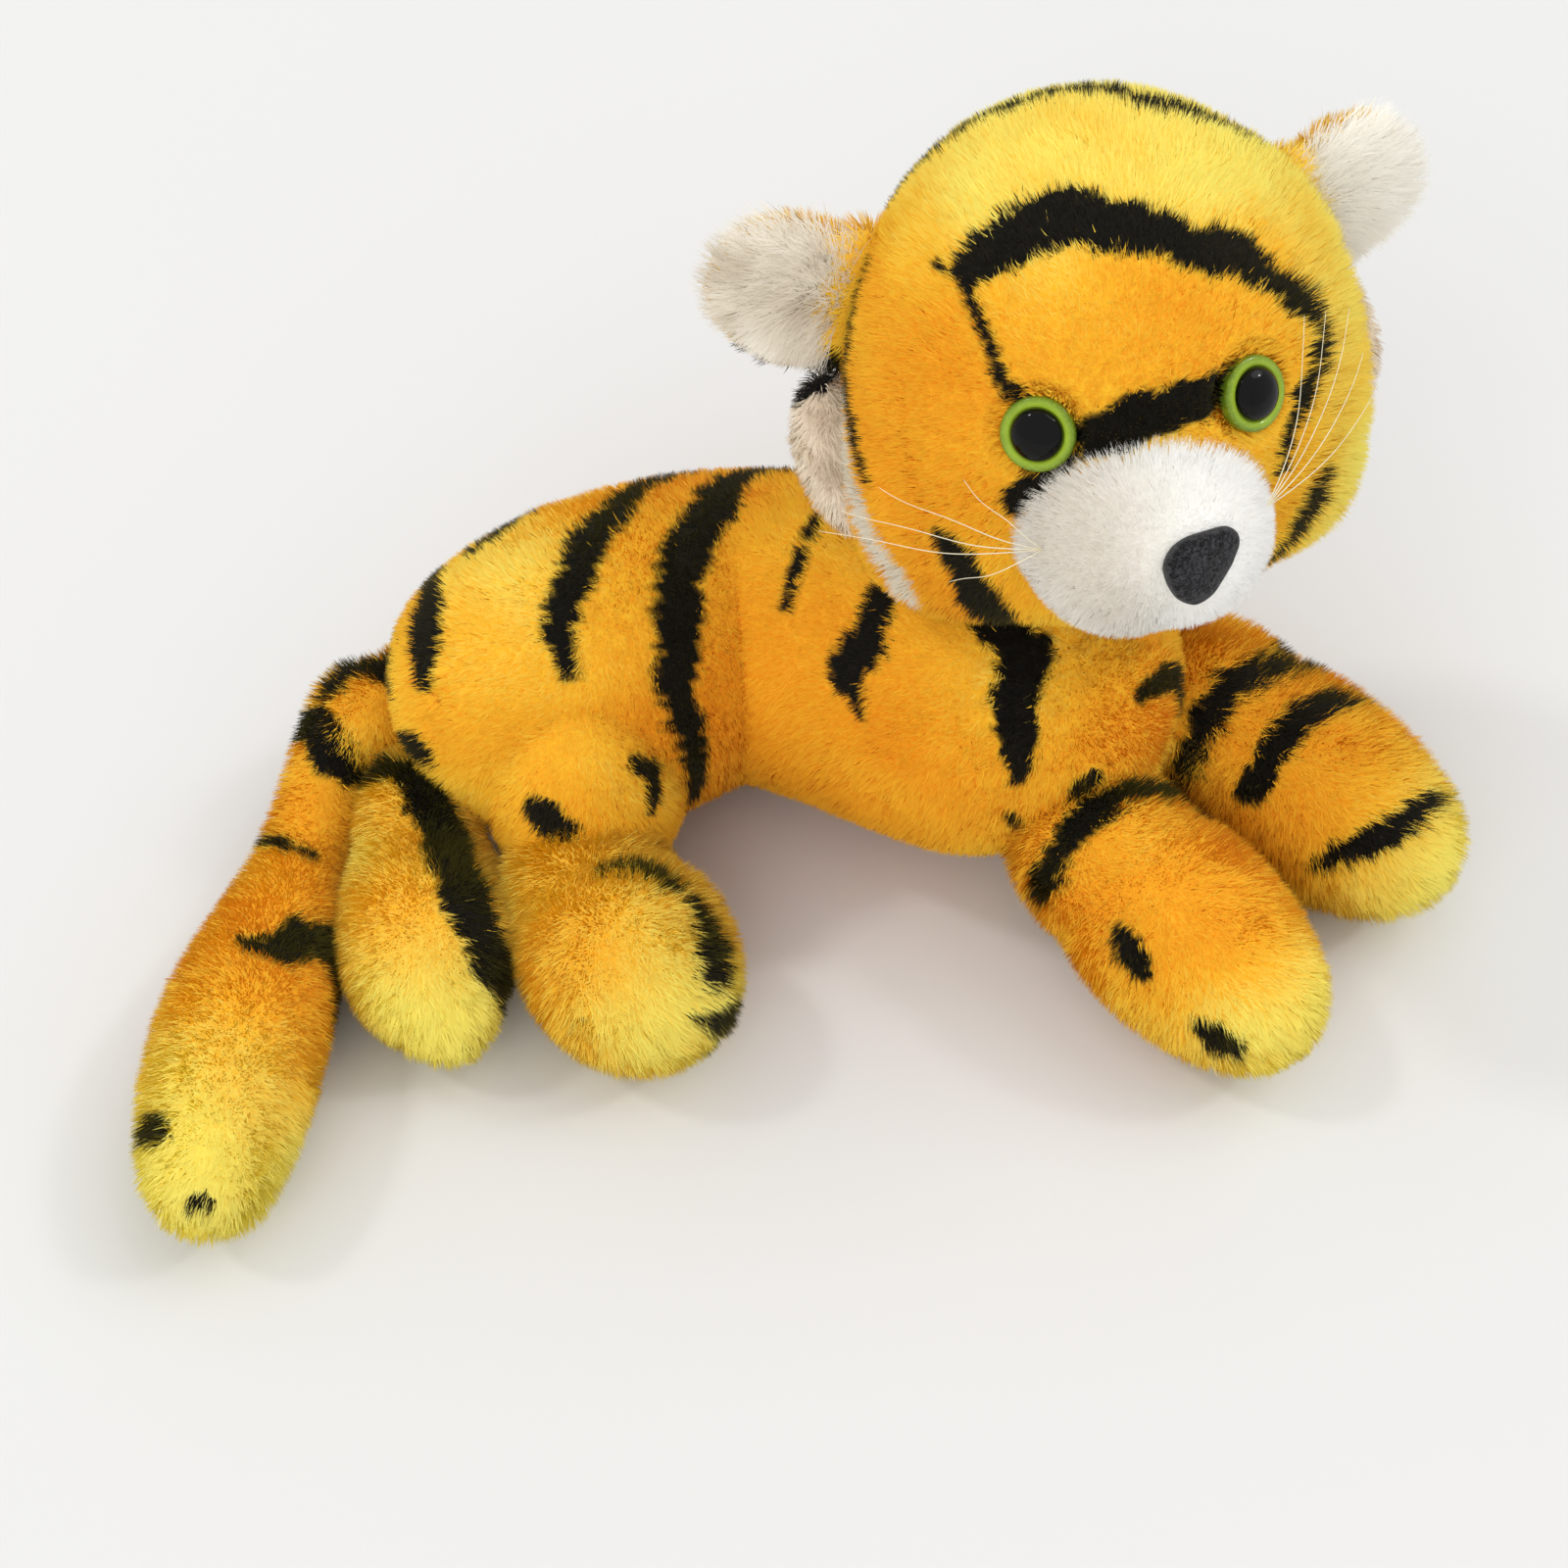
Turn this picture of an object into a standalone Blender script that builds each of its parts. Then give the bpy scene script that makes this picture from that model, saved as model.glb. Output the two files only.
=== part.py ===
"""Stuffed plush tiger lying on its belly with its head raised and turned to its right.

Every sewn part is a pile skin over a loose filling. Limbs, tail and head each end in a ball of
skin and filling that turns in a round socket of the torso, which is how such seams flex.
The torso runs along +X, the face looks towards -Y, and the floor is the plane of z = 0.
"""
from collections import namedtuple
from math import acos, asin, cos, exp, hypot, pi, radians, sin, sqrt

import bmesh
import bpy
from mathutils import Matrix, Vector

# Cloth, seams and clearances
PILE_DEPTH = 0.0060
BACKING = 0.0012
GAP = 0.0003
SEAM_GAP = 0.00045
LOOSE_GAP = 0.0006
TURN_GAP = 0.0007
REST_CUT = 0.0005
OVERRUN = 0.004
WALL = PILE_DEPTH + BACKING

# Torso, a sausage bent towards the face side
TORSO_LENGTH = 0.166
TORSO_GIRTH = 0.0390
TORSO_ALONG_SHARES = (-0.475, -0.262, -0.018, 0.307, 0.505)
TORSO_ACROSS_SHARES = (-0.100, -0.105, 0.000, -0.128, -0.240)
TORSO_GIRTH_SHARES = (0.89, 0.96, 0.87, 1.02, 0.94)
TORSO_BLUNT = (2.5, 2.6)

# Right thigh, a padded bulge on the side of the rump
THIGH_WIDTH = 0.043
THIGH_DEPTH = 0.050
THIGH_HEIGHT = 0.059
THIGH_PLACE_SHARES = (-0.226, -0.225)

# Head, in its own frame with -Y forwards, tipped up and turned a little left
HEAD_RADIUS = 0.0480
HEAD_PLACE_SHARES = (0.3952, -0.0295)
HEAD_SEAT_SHARE = 0.684
HEAD_YAW = 9.0
HEAD_PITCH = -19.5
HEAD_ROLL = -4.6
HEAD_DEPTH_SHARE = 0.97
HEAD_CROWN_SHARE = 1.14
JOWL_DIRECTION_SHARES = (0.74, -0.06, -0.62)
JOWL_SPREAD = 27.0
JOWL_SHARES = {-1: 0.21, 1: 0.13}
THROAT_ANGLE = 34.0
THROAT_FADE = 20.0
NECK_MOUTH = 0.0110
NECK_DEPTH = 0.0115
NECK_SWEEP = 96.0
NECK_STEPS = 12
NECK_NODS = (-10.0, -5.0, 0.0, 5.0, 10.0)

# Muzzle, nose and whiskers
MUZZLE_WIDTH = 0.045
MUZZLE_DEPTH = 0.041
MUZZLE_HEIGHT = 0.035
MUZZLE_PLACE_SHARES = (-0.05, -0.93, -0.25)
MUZZLE_CLEFT_SHARE = 0.24
CLEFT_WIDTH_SHARE = 0.28
NOSE_WIDTH = 0.0150
NOSE_HEIGHT = 0.0130
NOSE_THICK = 0.0022
NOSE_SINK = 0.0012
NOSE_DIRECTION_SHARES = (0.25, -1.0, 0.14)
NOSE_OUTLINE_SHARES = (
    (-0.47, 0.14), (-0.37, 0.34), (-0.17, 0.45), (0.14, 0.46), (0.42, 0.42), (0.52, 0.24),
    (0.42, -0.02), (0.24, -0.26), (0.06, -0.44), (-0.15, -0.51), (-0.34, -0.38), (-0.45, -0.12),
)
KNOT_RADIUS = 0.0012
WHISKER_RADIUS = 0.00035
WHISKER_LENGTH = 0.042
WHISKER_BEND_SHARE = 0.30
WHISKER_FANS = {
    "right": ((-14.0, 0.45), (14.0, 1.0), (21.0, 0.92), (31.0, 0.8), (50.0, 0.5)),
    "left": ((36.0, 0.75), (48.0, 0.85), (58.0, 1.0), (64.0, 0.95), (70.0, 0.9)),
}
WHISKER_FORWARD_SHARE = 0.35
WHISKER_SWEEPS = {"right": (0.1, 0.85, 0.35), "left": (-0.5, 0.75, 0.35)}
WHISKER_POINTS = 8
KNOT_DIRECTION_SHARES = (0.93, -0.30, 0.22)
KNOT_SINK_SHARE = 0.75

# Eyes, each an iris with a stud, a domed pupil and a washer that locks the stud inside
EYE_RADIUS = 0.0070
PUPIL_RADIUS = 0.0049
PUPIL_DOME = 0.0024
PUPIL_RIM = 0.0005
IRIS_THICK = 0.0030
IRIS_SEAT = 0.0010
EYE_PRESS = 0.0032
EYE_OPENING = 0.0120
STUD_RADIUS = 0.0016
STUD_LENGTH = 0.0090
WASHER_RADIUS = 0.0060
WASHER_THICK = 0.0014
WASHER_BITE = 0.0006
EYE_DIRECTION_SHARES = (0.443, -0.890, 0.225)

# Ears, each a white front pad and a yellow back pad on a rolled root
EAR_FRONT_RADIUS = 0.0144
EAR_BACK_RADIUS = 0.0160
EAR_FRONT_THICK = 0.0050
EAR_BACK_THICK = 0.0055
EAR_ROOT_RADIUS = 0.0046
EAR_ROOT_SPAN = 0.0170
EAR_ROOT_LIFT = 0.0015
EAR_RISE = 0.0112
EAR_DIRECTION_SHARES = (0.905, 0.240, 0.370)
EAR_TURNS = {-1: 24.0, 1: 42.0}
EAR_TILT = 0.0

# White ruffs behind the cheeks
RUFF_RADIUS = 0.0525
RUFF_WIDTH = 0.0150
RUFF_THICK = 0.0120
RUFF_SETBACK = 0.0090
RUFF_ANGLES = (-8.0, 8.0, 22.0, 34.0)
RUFF_GIRTH_SHARES = (0.8, 1.0, 1.0, 0.8)
RUFF_BLUNT = (2.2, 2.2)

# Limbs and tail: length, greatest half thickness and radius of the root ball
FRONT_RIGHT_LENGTH = 0.0600
FRONT_RIGHT_GIRTH = 0.0205
FRONT_RIGHT_BALL = 0.0180
FRONT_LEFT_LENGTH = 0.0650
FRONT_LEFT_GIRTH = 0.0210
FRONT_LEFT_BALL = 0.0185
HIND_RIGHT_LENGTH = 0.0440
HIND_RIGHT_GIRTH = 0.0205
HIND_RIGHT_BALL = 0.0165
HIND_LEFT_LENGTH = 0.0575
HIND_LEFT_GIRTH = 0.0172
HIND_LEFT_BALL = 0.0123
TAIL_LENGTH = 0.1270
TAIL_GIRTH = 0.0180
TAIL_BALL = 0.0088

# Root shares are along the torso's spine, then ahead, to the left and up in shares of its girth.
# Lifts are shares of the root's height that each point keeps above where it would lie.
Limb = namedtuple("Limb", "name root_shares heading length girth ball along across girths lifts blunt")
LIMBS = (
    Limb("front_leg_right", (0.9595, 0, -0.5059, 0.6923), -47.0,
         FRONT_RIGHT_LENGTH, FRONT_RIGHT_GIRTH, FRONT_RIGHT_BALL,
         (0, 0.45, 1), (0, 0.00, -0.02), (0.88, 1.00, 0.84), (1, 0.1, 0), (2.7, 2.5)),
    Limb("front_leg_left", (0.9675, 0, 0.6724, 0.7436), -37.0,
         FRONT_LEFT_LENGTH, FRONT_LEFT_GIRTH, FRONT_LEFT_BALL,
         (0, 0.45, 1), (0, 0.00, -0.02), (0.89, 1.00, 0.86), (1, 0.1, 0), (2.7, 2.5)),
    Limb("hind_leg_right", (0.2410, 0, -1.1488, 0.5513), -60.0,
         HIND_RIGHT_LENGTH, HIND_RIGHT_GIRTH, HIND_RIGHT_BALL,
         (0, 0.45, 1), (0, -0.02, 0.06), (0.82, 1.00, 0.92), (1, 0.0, 0), (2.4, 2.4)),
    Limb("hind_leg_left", (0.0550, 0, -0.6490, 0.5641), -80.0,
         HIND_LEFT_LENGTH, HIND_LEFT_GIRTH, HIND_LEFT_BALL,
         (0, 0.35, 0.70, 1), (0, -0.02, -0.02, 0.05), (0.73, 0.94, 1.00, 0.70), (1, 0.2, 0, 0), (2.4, 2.2)),
    Limb("tail", (0, -0.0350, 0.0741, 0.7436), -100.7,
         TAIL_LENGTH, TAIL_GIRTH, TAIL_BALL,
         (0, 0.05, 0.30, 0.66, 1), (0, -0.070, -0.088, -0.075, -0.035),
         (0.46, 0.47, 0.56, 0.93, 0.95), (1, 0.85, 0.1, 0, 0), (2.4, 3.0)),
)

# Filling of each limb, as shares of its half thickness and of its root ball
LIMB_CORE_SHARE = 0.62
LIMB_MOUTH_SHARE = 0.72

SIDES = (("right", -1), ("left", 1))

# Facets of the mapped forms: stations along and sides around
TORSO_FACETS = (16, 20)
INNER_FACETS = (12, 14)
LIMB_FACETS = (11, 14)
CORE_FACETS = (8, 10)
SOCKET_FACETS = (10, 12)
HEAD_FACETS = (18, 24)
MUZZLE_FACETS = (14, 18)
PAD_FACETS = (10, 14)
KNOT_FACETS = (6, 8)
TURN_STEPS = 20
DOME_STEPS = 6
WELD = 0.00001
NEAR_SHARE = 0.001

COLOURS = {
    "orange_plush": ((0.86, 0.40, 0.03), 0.95, 0.0),
    "yellow_plush": ((0.93, 0.60, 0.08), 0.95, 0.0),
    "white_plush": ((0.86, 0.84, 0.82), 0.95, 0.0),
    "beige_plush": ((0.76, 0.70, 0.64), 0.95, 0.0),
    "black_felt": ((0.015, 0.015, 0.016), 0.85, 0.0),
    "lime_plastic": ((0.42, 0.62, 0.03), 0.18, 0.0),
    "black_plastic": ((0.01, 0.01, 0.01), 0.08, 0.0),
    "clear_nylon": ((0.88, 0.84, 0.72), 0.30, 0.0),
    "washer_plastic": ((0.85, 0.85, 0.82), 0.40, 0.0),
    "filling": ((0.90, 0.90, 0.88), 1.0, 0.0),
}

for old in list(bpy.data.objects):
    bpy.data.objects.remove(old, do_unlink=True)

parts = bpy.data.collections.new("plush_tiger")
guides = bpy.data.collections.new("cutters")
for group in (parts, guides):
    bpy.context.scene.collection.children.link(group)


def own_material(name, colour):
    base, rough, metal = COLOURS[colour]
    material = bpy.data.materials.new(name)
    material.use_nodes = True
    shader = material.node_tree.nodes["Principled BSDF"]
    shader.inputs["Base Color"].default_value = (*base, 1)
    shader.inputs["Roughness"].default_value = rough
    shader.inputs["Metallic"].default_value = metal
    material.diffuse_color = (*base, 1)
    return material


def place(name, mesh, colour=None):
    """Links a mesh as a named sub-part, or as a cutter where it has no colour."""
    thing = bpy.data.objects.new(name, mesh)
    if colour is None:
        guides.objects.link(thing)
        thing.hide_render = True
        thing.display_type = "WIRE"
    else:
        parts.objects.link(thing)
        mesh.materials.append(own_material(name, colour))
    mesh.shade_smooth()
    return thing


def mesh_of(name, grid):
    mesh = bpy.data.meshes.new(name)
    grid.to_mesh(mesh)
    grid.free()
    return mesh


def combine(thing, other, operation):
    step = thing.modifiers.new(operation.lower() + "_" + other.name, "BOOLEAN")
    step.operation = operation
    step.solver = "EXACT"
    step.object = other


def cut(thing, *cutters):
    for cutter in cutters:
        combine(thing, cutter, "DIFFERENCE")


def fuse(thing, *others):
    for other in others:
        combine(thing, other, "UNION")


def along_curve(points, share):
    """Catmull-Rom point at a share of the way through evenly counted points."""
    last = len(points) - 1
    index = min(int(share * last), last - 1)
    t = share * last - index
    before = points[index - 1] if index else points[0] * 2 - points[1]
    after = points[index + 2] if index + 2 <= last else points[last] * 2 - points[last - 1]
    a, b = points[index], points[index + 1]
    return (b - before) * t * 0.5 + a + (before * 2 - a * 5 + b * 4 - after) * t * t * 0.5 \
        + (a * 3 - before - b * 3 + after) * t * t * t * 0.5


def across_curve(points, share):
    """Directions to the left of a curve and square above it, at a share of the way."""
    before = along_curve(points, max(share - NEAR_SHARE, 0))
    ahead = along_curve(points, min(share + NEAR_SHARE, 1)) - before
    left = Vector((0, 0, 1)).cross(ahead).normalized()
    return left, ahead.cross(left).normalized()


def quarter_arc():
    """Shares of radius and height down a dome, from its top to its rim."""
    turns = [pi / 2 * step / DOME_STEPS for step in range(DOME_STEPS + 1)]
    return [(sin(turn), cos(turn)) for turn in turns]


def unit_ball(facets):
    grid = bmesh.new()
    bmesh.ops.create_uvsphere(grid, u_segments=facets[1], v_segments=facets[0], radius=1)
    bmesh.ops.triangulate(grid, faces=grid.faces, quad_method="FIXED")
    return grid


def swell(name, spine, girths, blunt, facets, colour=None, inset=0, starts=0, ends=0):
    """A soft sausage: a unit ball whose rings are strung along a spine at the given girths.

    The inset pulls the sides and both ends in by a length, so skins, fillings and
    clearances all come from one form. Starts and ends pull one end in further.
    """
    spine = [Vector(point) for point in spine]
    spine[0] = spine[0] + (spine[1] - spine[0]).normalized() * (inset + starts)
    spine[-1] = spine[-1] + (spine[-2] - spine[-1]).normalized() * (inset + ends)
    girth_points = [Vector((side - inset, rise - inset, 0)) for side, rise in girths]
    grid = unit_ball(facets)
    for vert in grid.verts:
        share = min(max((vert.co.z + 1) / 2, 0), 1)
        side, rise = across_curve(spine, share)
        girth = along_curve(girth_points, share)
        power = blunt[0] if share < 0.5 else blunt[1]
        cap = (1 - min(abs(vert.co.z), 1) ** power) ** (1 / power)
        spread = hypot(vert.co.x, vert.co.y) or 1
        offset = side * girth.x * vert.co.x / spread + rise * girth.y * vert.co.y / spread
        vert.co = along_curve(spine, share) + offset * cap
    return place(name, mesh_of(name, grid), colour)


def ball(name, radius, centre, facets, colour=None, frame=None):
    """An ellipsoid; radius is one length or three along the axes of the frame."""
    radii = Vector(radius) if hasattr(radius, "__len__") else Vector((radius,) * 3)
    turn = frame or Matrix.Identity(3)
    grid = unit_ball(facets)
    for vert in grid.verts:
        vert.co = Vector(centre) + turn @ (vert.co * radii)
    return place(name, mesh_of(name, grid), colour)


def drum(name, radius, low, high, frame, colour=None):
    """A cylinder between two heights on the Z axis of a frame."""
    grid = bmesh.new()
    middle = Matrix.Translation((0, 0, (low + high) / 2))
    bmesh.ops.create_cone(grid, cap_ends=True, segments=TURN_STEPS, radius1=radius, radius2=radius,
                          depth=high - low, matrix=frame @ middle)
    return place(name, mesh_of(name, grid), colour)


def block(name, low, high, frame, colour=None):
    grid = bmesh.new()
    low, high = Vector(low), Vector(high)
    stretch = Matrix.Diagonal((*(high - low), 1))
    bmesh.ops.create_cube(grid, size=1, matrix=frame @ Matrix.Translation((low + high) / 2) @ stretch)
    return place(name, mesh_of(name, grid), colour)


def turned(name, profile, frame, colour=None, closed=False):
    """A profile of radius and height turned about the Z axis of a frame."""
    mesh = bpy.data.meshes.new(name)
    edges = [(i, i + 1) for i in range(len(profile) - 1)]
    if closed:
        edges.append((len(profile) - 1, 0))
    mesh.from_pydata([(radius, 0, height) for radius, height in profile], edges, [])
    thing = place(name, mesh, colour)
    thing.matrix_world = frame
    screw = thing.modifiers.new("turn", "SCREW")
    screw.steps = screw.render_steps = TURN_STEPS
    screw.use_merge_vertices = not closed
    screw.merge_threshold = WELD
    if closed:
        weld = thing.modifiers.new("close", "WELD")
        weld.merge_threshold = WELD
    return thing


def frame_at(point, outward, upward):
    """A frame at a point whose Z axis looks outward and whose Y axis is nearest to upward."""
    z_axis = Vector(outward).normalized()
    x_axis = Vector(upward).cross(z_axis).normalized()
    y_axis = z_axis.cross(x_axis)
    turn = Matrix((x_axis, y_axis, z_axis)).transposed().to_4x4()
    return Matrix.Translation(point) @ turn


def set_origin(thing, pivot):
    """Moves an object's origin to its joint without moving its shape."""
    thing.data.transform(Matrix.Translation(-Vector(pivot)) @ thing.matrix_world)
    thing.matrix_world = Matrix.Translation(pivot)


def hang(name, frame, pieces):
    """Parents pieces to an empty that stands on their joint, with X or Z along its axis."""
    pivot = bpy.data.objects.new(name, None)
    pivot.empty_display_size = HEAD_RADIUS
    pivot.matrix_world = frame
    parts.objects.link(pivot)
    for piece in pieces:
        piece.parent = pivot
        piece.matrix_parent_inverse = frame.inverted()
    return pivot


# Frames and forms that several pieces share
HEAD_CENTRE = Vector((TORSO_LENGTH * HEAD_PLACE_SHARES[0], TORSO_LENGTH * HEAD_PLACE_SHARES[1],
                      TORSO_GIRTH * max(TORSO_GIRTH_SHARES) * 2 + HEAD_RADIUS * HEAD_SEAT_SHARE))
HEAD_TURN = (Matrix.Rotation(radians(HEAD_YAW), 3, "Z") @ Matrix.Rotation(radians(HEAD_PITCH), 3, "X")
             @ Matrix.Rotation(radians(HEAD_ROLL), 3, "Y"))
HEAD_FRAME = Matrix.Translation(HEAD_CENTRE) @ HEAD_TURN.to_4x4()


def angle_between(one, other):
    return acos(max(-1, min(1, one.dot(other))))


def head_reach(direction):
    """Distance from the pivot to the head's surface: a ball with a raised crown and two jowls."""
    shape = Vector((1, HEAD_DEPTH_SHARE, HEAD_CROWN_SHARE if direction.z > 0 else 1))
    reach = HEAD_RADIUS * (direction * shape).length
    from_neck = angle_between(direction, Vector((0, 0, -1))) - radians(THROAT_ANGLE)
    past_throat = min(max(from_neck / radians(THROAT_FADE), 0), 1)
    for side in (-1, 1):
        jowl = Vector((JOWL_DIRECTION_SHARES[0] * side, *JOWL_DIRECTION_SHARES[1:])).normalized()
        off = angle_between(direction, jowl) / radians(JOWL_SPREAD)
        reach += HEAD_RADIUS * JOWL_SHARES[side] * exp(-off * off) * sin(pi / 2 * past_throat)
    return reach


def head_form(name, inset, facets, colour=None):
    grid = unit_ball(facets)
    for vert in grid.verts:
        direction = vert.co.normalized()
        vert.co = HEAD_FRAME @ (direction * (head_reach(direction) - inset))
    return place(name, mesh_of(name, grid), colour)


def oval_reach(direction, radii):
    """Distance from the centre of an ellipsoid to its surface."""
    return 1 / sqrt(sum((direction[i] / radii[i]) ** 2 for i in range(3)))


def on_head(direction, sink=0):
    """World point on the head's surface, sunk below it by a length."""
    direction = Vector(direction).normalized()
    return HEAD_FRAME @ (direction * (head_reach(direction) - sink))


def torso_spine():
    spine = []
    for along, across, share in zip(TORSO_ALONG_SHARES, TORSO_ACROSS_SHARES, TORSO_GIRTH_SHARES):
        height = TORSO_GIRTH * share - REST_CUT
        spine.append((TORSO_LENGTH * along, TORSO_LENGTH * across, height))
    return spine


def torso_form(name, inset, facets, colour=None):
    girths = [(TORSO_GIRTH * share,) * 2 for share in TORSO_GIRTH_SHARES]
    return swell(name, torso_spine(), girths, TORSO_BLUNT, facets, colour, inset)


def limb_root(limb):
    """Where the limb's ball turns, tied to the torso's spine and girth."""
    along, ahead, left, height = limb.root_shares
    spine = [Vector(point) for point in torso_spine()]
    girths = [Vector((TORSO_GIRTH * share, 0, 0)) for share in TORSO_GIRTH_SHARES]
    girth = along_curve(girths, along).x
    side = across_curve(spine, along)[0]
    forward = side.cross(Vector((0, 0, 1)))
    root = along_curve(spine, along) + (forward * ahead + side * left) * girth
    return Vector((root.x, root.y, TORSO_GIRTH * height))


def limb_spine(limb, girth_share=1):
    """Points and half thicknesses of a limb, thinned all along by a share for its filling."""
    ahead = Vector((cos(radians(limb.heading)), sin(radians(limb.heading)), 0))
    left = Vector((-ahead.y, ahead.x, 0))
    root = limb_root(limb)
    spine, girths = [], []
    for along, across, share, lift in zip(limb.along, limb.across, limb.girths, limb.lifts):
        girth = limb.girth * share
        lying = girth - REST_CUT
        point = root + ahead * limb.length * along + left * limb.length * across
        point.z = lying + (root.z - lying) * lift
        spine.append(point)
        girths.append((girth * girth_share, girth * girth_share))
    return spine, girths


def build_limb(limb, floor):
    """Skin with a ball root, open at the back of the ball, and the filling inside it."""
    centre = limb_root(limb)
    spine, girths = limb_spine(limb)
    skin = swell(limb.name + "_skin", spine, girths, limb.blunt, LIMB_FACETS, "orange_plush")
    root = ball(limb.name + "_root_form", limb.ball, centre, SOCKET_FACETS)
    spine, core_girths = limb_spine(limb, LIMB_CORE_SHARE)
    hollow = swell(limb.name + "_hollow", spine, core_girths, limb.blunt, CORE_FACETS,
                   starts=-limb.ball - OVERRUN, ends=WALL)
    filling = swell(limb.name + "_filling", spine, core_girths, limb.blunt, CORE_FACETS, "filling",
                    inset=LOOSE_GAP, starts=-limb.ball - OVERRUN, ends=WALL)
    reach = limb.ball * 2
    trim = block(limb.name + "_trim", (-reach, -reach, -reach), (reach, reach, -limb.ball * LIMB_MOUTH_SHARE),
                 frame_at(centre, spine[1] - spine[0], (0, 0, 1)))
    cut(filling, trim)
    fuse(skin, root)
    cut(skin, hollow, floor)
    for piece in (skin, filling):
        set_origin(piece, centre)
    return skin, filling


def socket(limb):
    return ball(limb.name + "_socket", limb.ball + TURN_GAP, limb_root(limb), SOCKET_FACETS)


def build_neck_bowl():
    """The hollow that the head turns and nods in, from its widest reach at each angle round the neck."""
    profile = [(0, HEAD_RADIUS), (HEAD_RADIUS * 2, HEAD_RADIUS)]
    nods = [Matrix.Rotation(radians(nod), 3, "X") for nod in NECK_NODS]
    for step in range(NECK_STEPS, -1, -1):
        angle = radians(NECK_SWEEP) * step / NECK_STEPS
        widest = HEAD_RADIUS
        for turn in range(TURN_STEPS):
            rim = radians(360) * turn / TURN_STEPS
            way = Vector((sin(angle) * cos(rim), sin(angle) * sin(rim), -cos(angle)))
            widest = max(widest, *[head_reach(nod @ way) for nod in nods])
        widest += TURN_GAP
        profile.append((widest * sin(angle) / cos(pi / TURN_STEPS), -widest * cos(angle)))
    return turned("neck_bowl", profile, HEAD_FRAME)


def build_torso(floor, sockets):
    """Torso skin and filling, hollowed for the neck and for each limb's ball."""
    neck_ball = build_neck_bowl()
    pocket_low = -HEAD_RADIUS - NECK_DEPTH - GAP - GAP
    pocket = drum("neck_pocket", NECK_MOUTH + GAP, pocket_low, 0, HEAD_FRAME)
    hollow = torso_form("torso_hollow", WALL, INNER_FACETS)
    skin = torso_form("torso_skin", 0, TORSO_FACETS, "orange_plush")
    filling = torso_form("torso_filling", WALL + LOOSE_GAP, INNER_FACETS, "filling")
    cut(skin, hollow, neck_ball, pocket, floor, *sockets)
    cut(filling, neck_ball, pocket, *sockets)
    neck = drum("neck_filling", NECK_MOUTH, -HEAD_RADIUS - GAP - NECK_DEPTH, -HEAD_RADIUS / 2,
                HEAD_FRAME, "filling")
    cut(neck, neck_ball)
    set_origin(neck, HEAD_CENTRE)
    return skin, filling


def build_thigh(floor, sockets):
    place_shares = Vector(THIGH_PLACE_SHARES)
    centre = (TORSO_LENGTH * place_shares.x, TORSO_LENGTH * place_shares.y, THIGH_HEIGHT / 2 - REST_CUT)
    radii = (THIGH_WIDTH / 2, THIGH_DEPTH / 2, THIGH_HEIGHT / 2)
    thigh = ball("thigh_right", radii, centre, PAD_FACETS, "orange_plush")
    cut(thigh, torso_form("torso_clearance", -SEAM_GAP, TORSO_FACETS), floor, *sockets)


def mirrored(shares, side):
    """A direction given for the tiger's left, +X in the head's frame, taken to either side."""
    return Vector((shares[0] * side, shares[1], shares[2]))


def build_eye(word, side):
    """Iris with its stud, domed pupil and washer; returns them and the seat to cut from the head."""
    direction = mirrored(EYE_DIRECTION_SHARES, side).normalized()
    frame = frame_at(on_head(direction, EYE_PRESS), HEAD_TURN @ direction, HEAD_TURN.col[2])
    bowl = PUPIL_RADIUS + GAP / 2
    rim = IRIS_THICK
    shelf = IRIS_THICK - IRIS_SEAT
    iris_profile = (
        (0, shelf), (bowl, shelf), (bowl, rim), (EYE_RADIUS - IRIS_SEAT, rim),
        (EYE_RADIUS, shelf), (EYE_RADIUS, 0), (STUD_RADIUS, 0),
        (STUD_RADIUS, -STUD_LENGTH), (0, -STUD_LENGTH),
    )
    iris = turned("eye_%s_iris" % word, iris_profile, frame, "lime_plastic")
    foot = shelf + GAP
    dome = [(PUPIL_RADIUS * out, foot + PUPIL_RIM + PUPIL_DOME * up) for out, up in quarter_arc()]
    pupil = turned("eye_%s_pupil" % word, [*dome, (PUPIL_RADIUS, foot), (0, foot)], frame, "black_plastic")
    top = EYE_PRESS - WALL + WASHER_BITE
    low = top - WASHER_THICK
    hole = STUD_RADIUS + GAP / 2
    ring = ((hole, top), (WASHER_RADIUS, top), (WASHER_RADIUS, low), (hole, low))
    washer = turned("eye_%s_washer" % word, ring, frame, "washer_plastic", closed=True)
    seat = (
        (0, EYE_OPENING), (EYE_RADIUS + GAP, EYE_OPENING), (EYE_RADIUS + GAP, -GAP),
        (STUD_RADIUS + GAP, -GAP), (STUD_RADIUS + GAP, top + GAP), (WASHER_RADIUS + GAP, top + GAP),
        (WASHER_RADIUS + GAP, low - GAP), (STUD_RADIUS + GAP, low - GAP),
        (STUD_RADIUS + GAP, -STUD_LENGTH - GAP), (0, -STUD_LENGTH - GAP),
    )
    return turned("eye_%s_seat" % word, seat, frame), (iris, pupil, washer)


def ear_frame(side):
    """Frame on the ear's hinge: X along the seam, Y up the ear and Z out of its front."""
    direction = mirrored(EAR_DIRECTION_SHARES, side).normalized()
    root = on_head(direction, -GAP)
    upward = HEAD_TURN @ direction
    front = HEAD_TURN @ (Matrix.Rotation(radians(EAR_TURNS[side] * side), 3, "Z") @ Vector((0, -1, 0)))
    seam = upward.cross(front).normalized()
    front = seam.cross(upward).normalized()
    turn = Matrix((seam, upward, front)).transposed().to_4x4()
    return Matrix.Translation(root) @ turn @ Matrix.Rotation(radians(-EAR_TILT), 4, "X")


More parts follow.
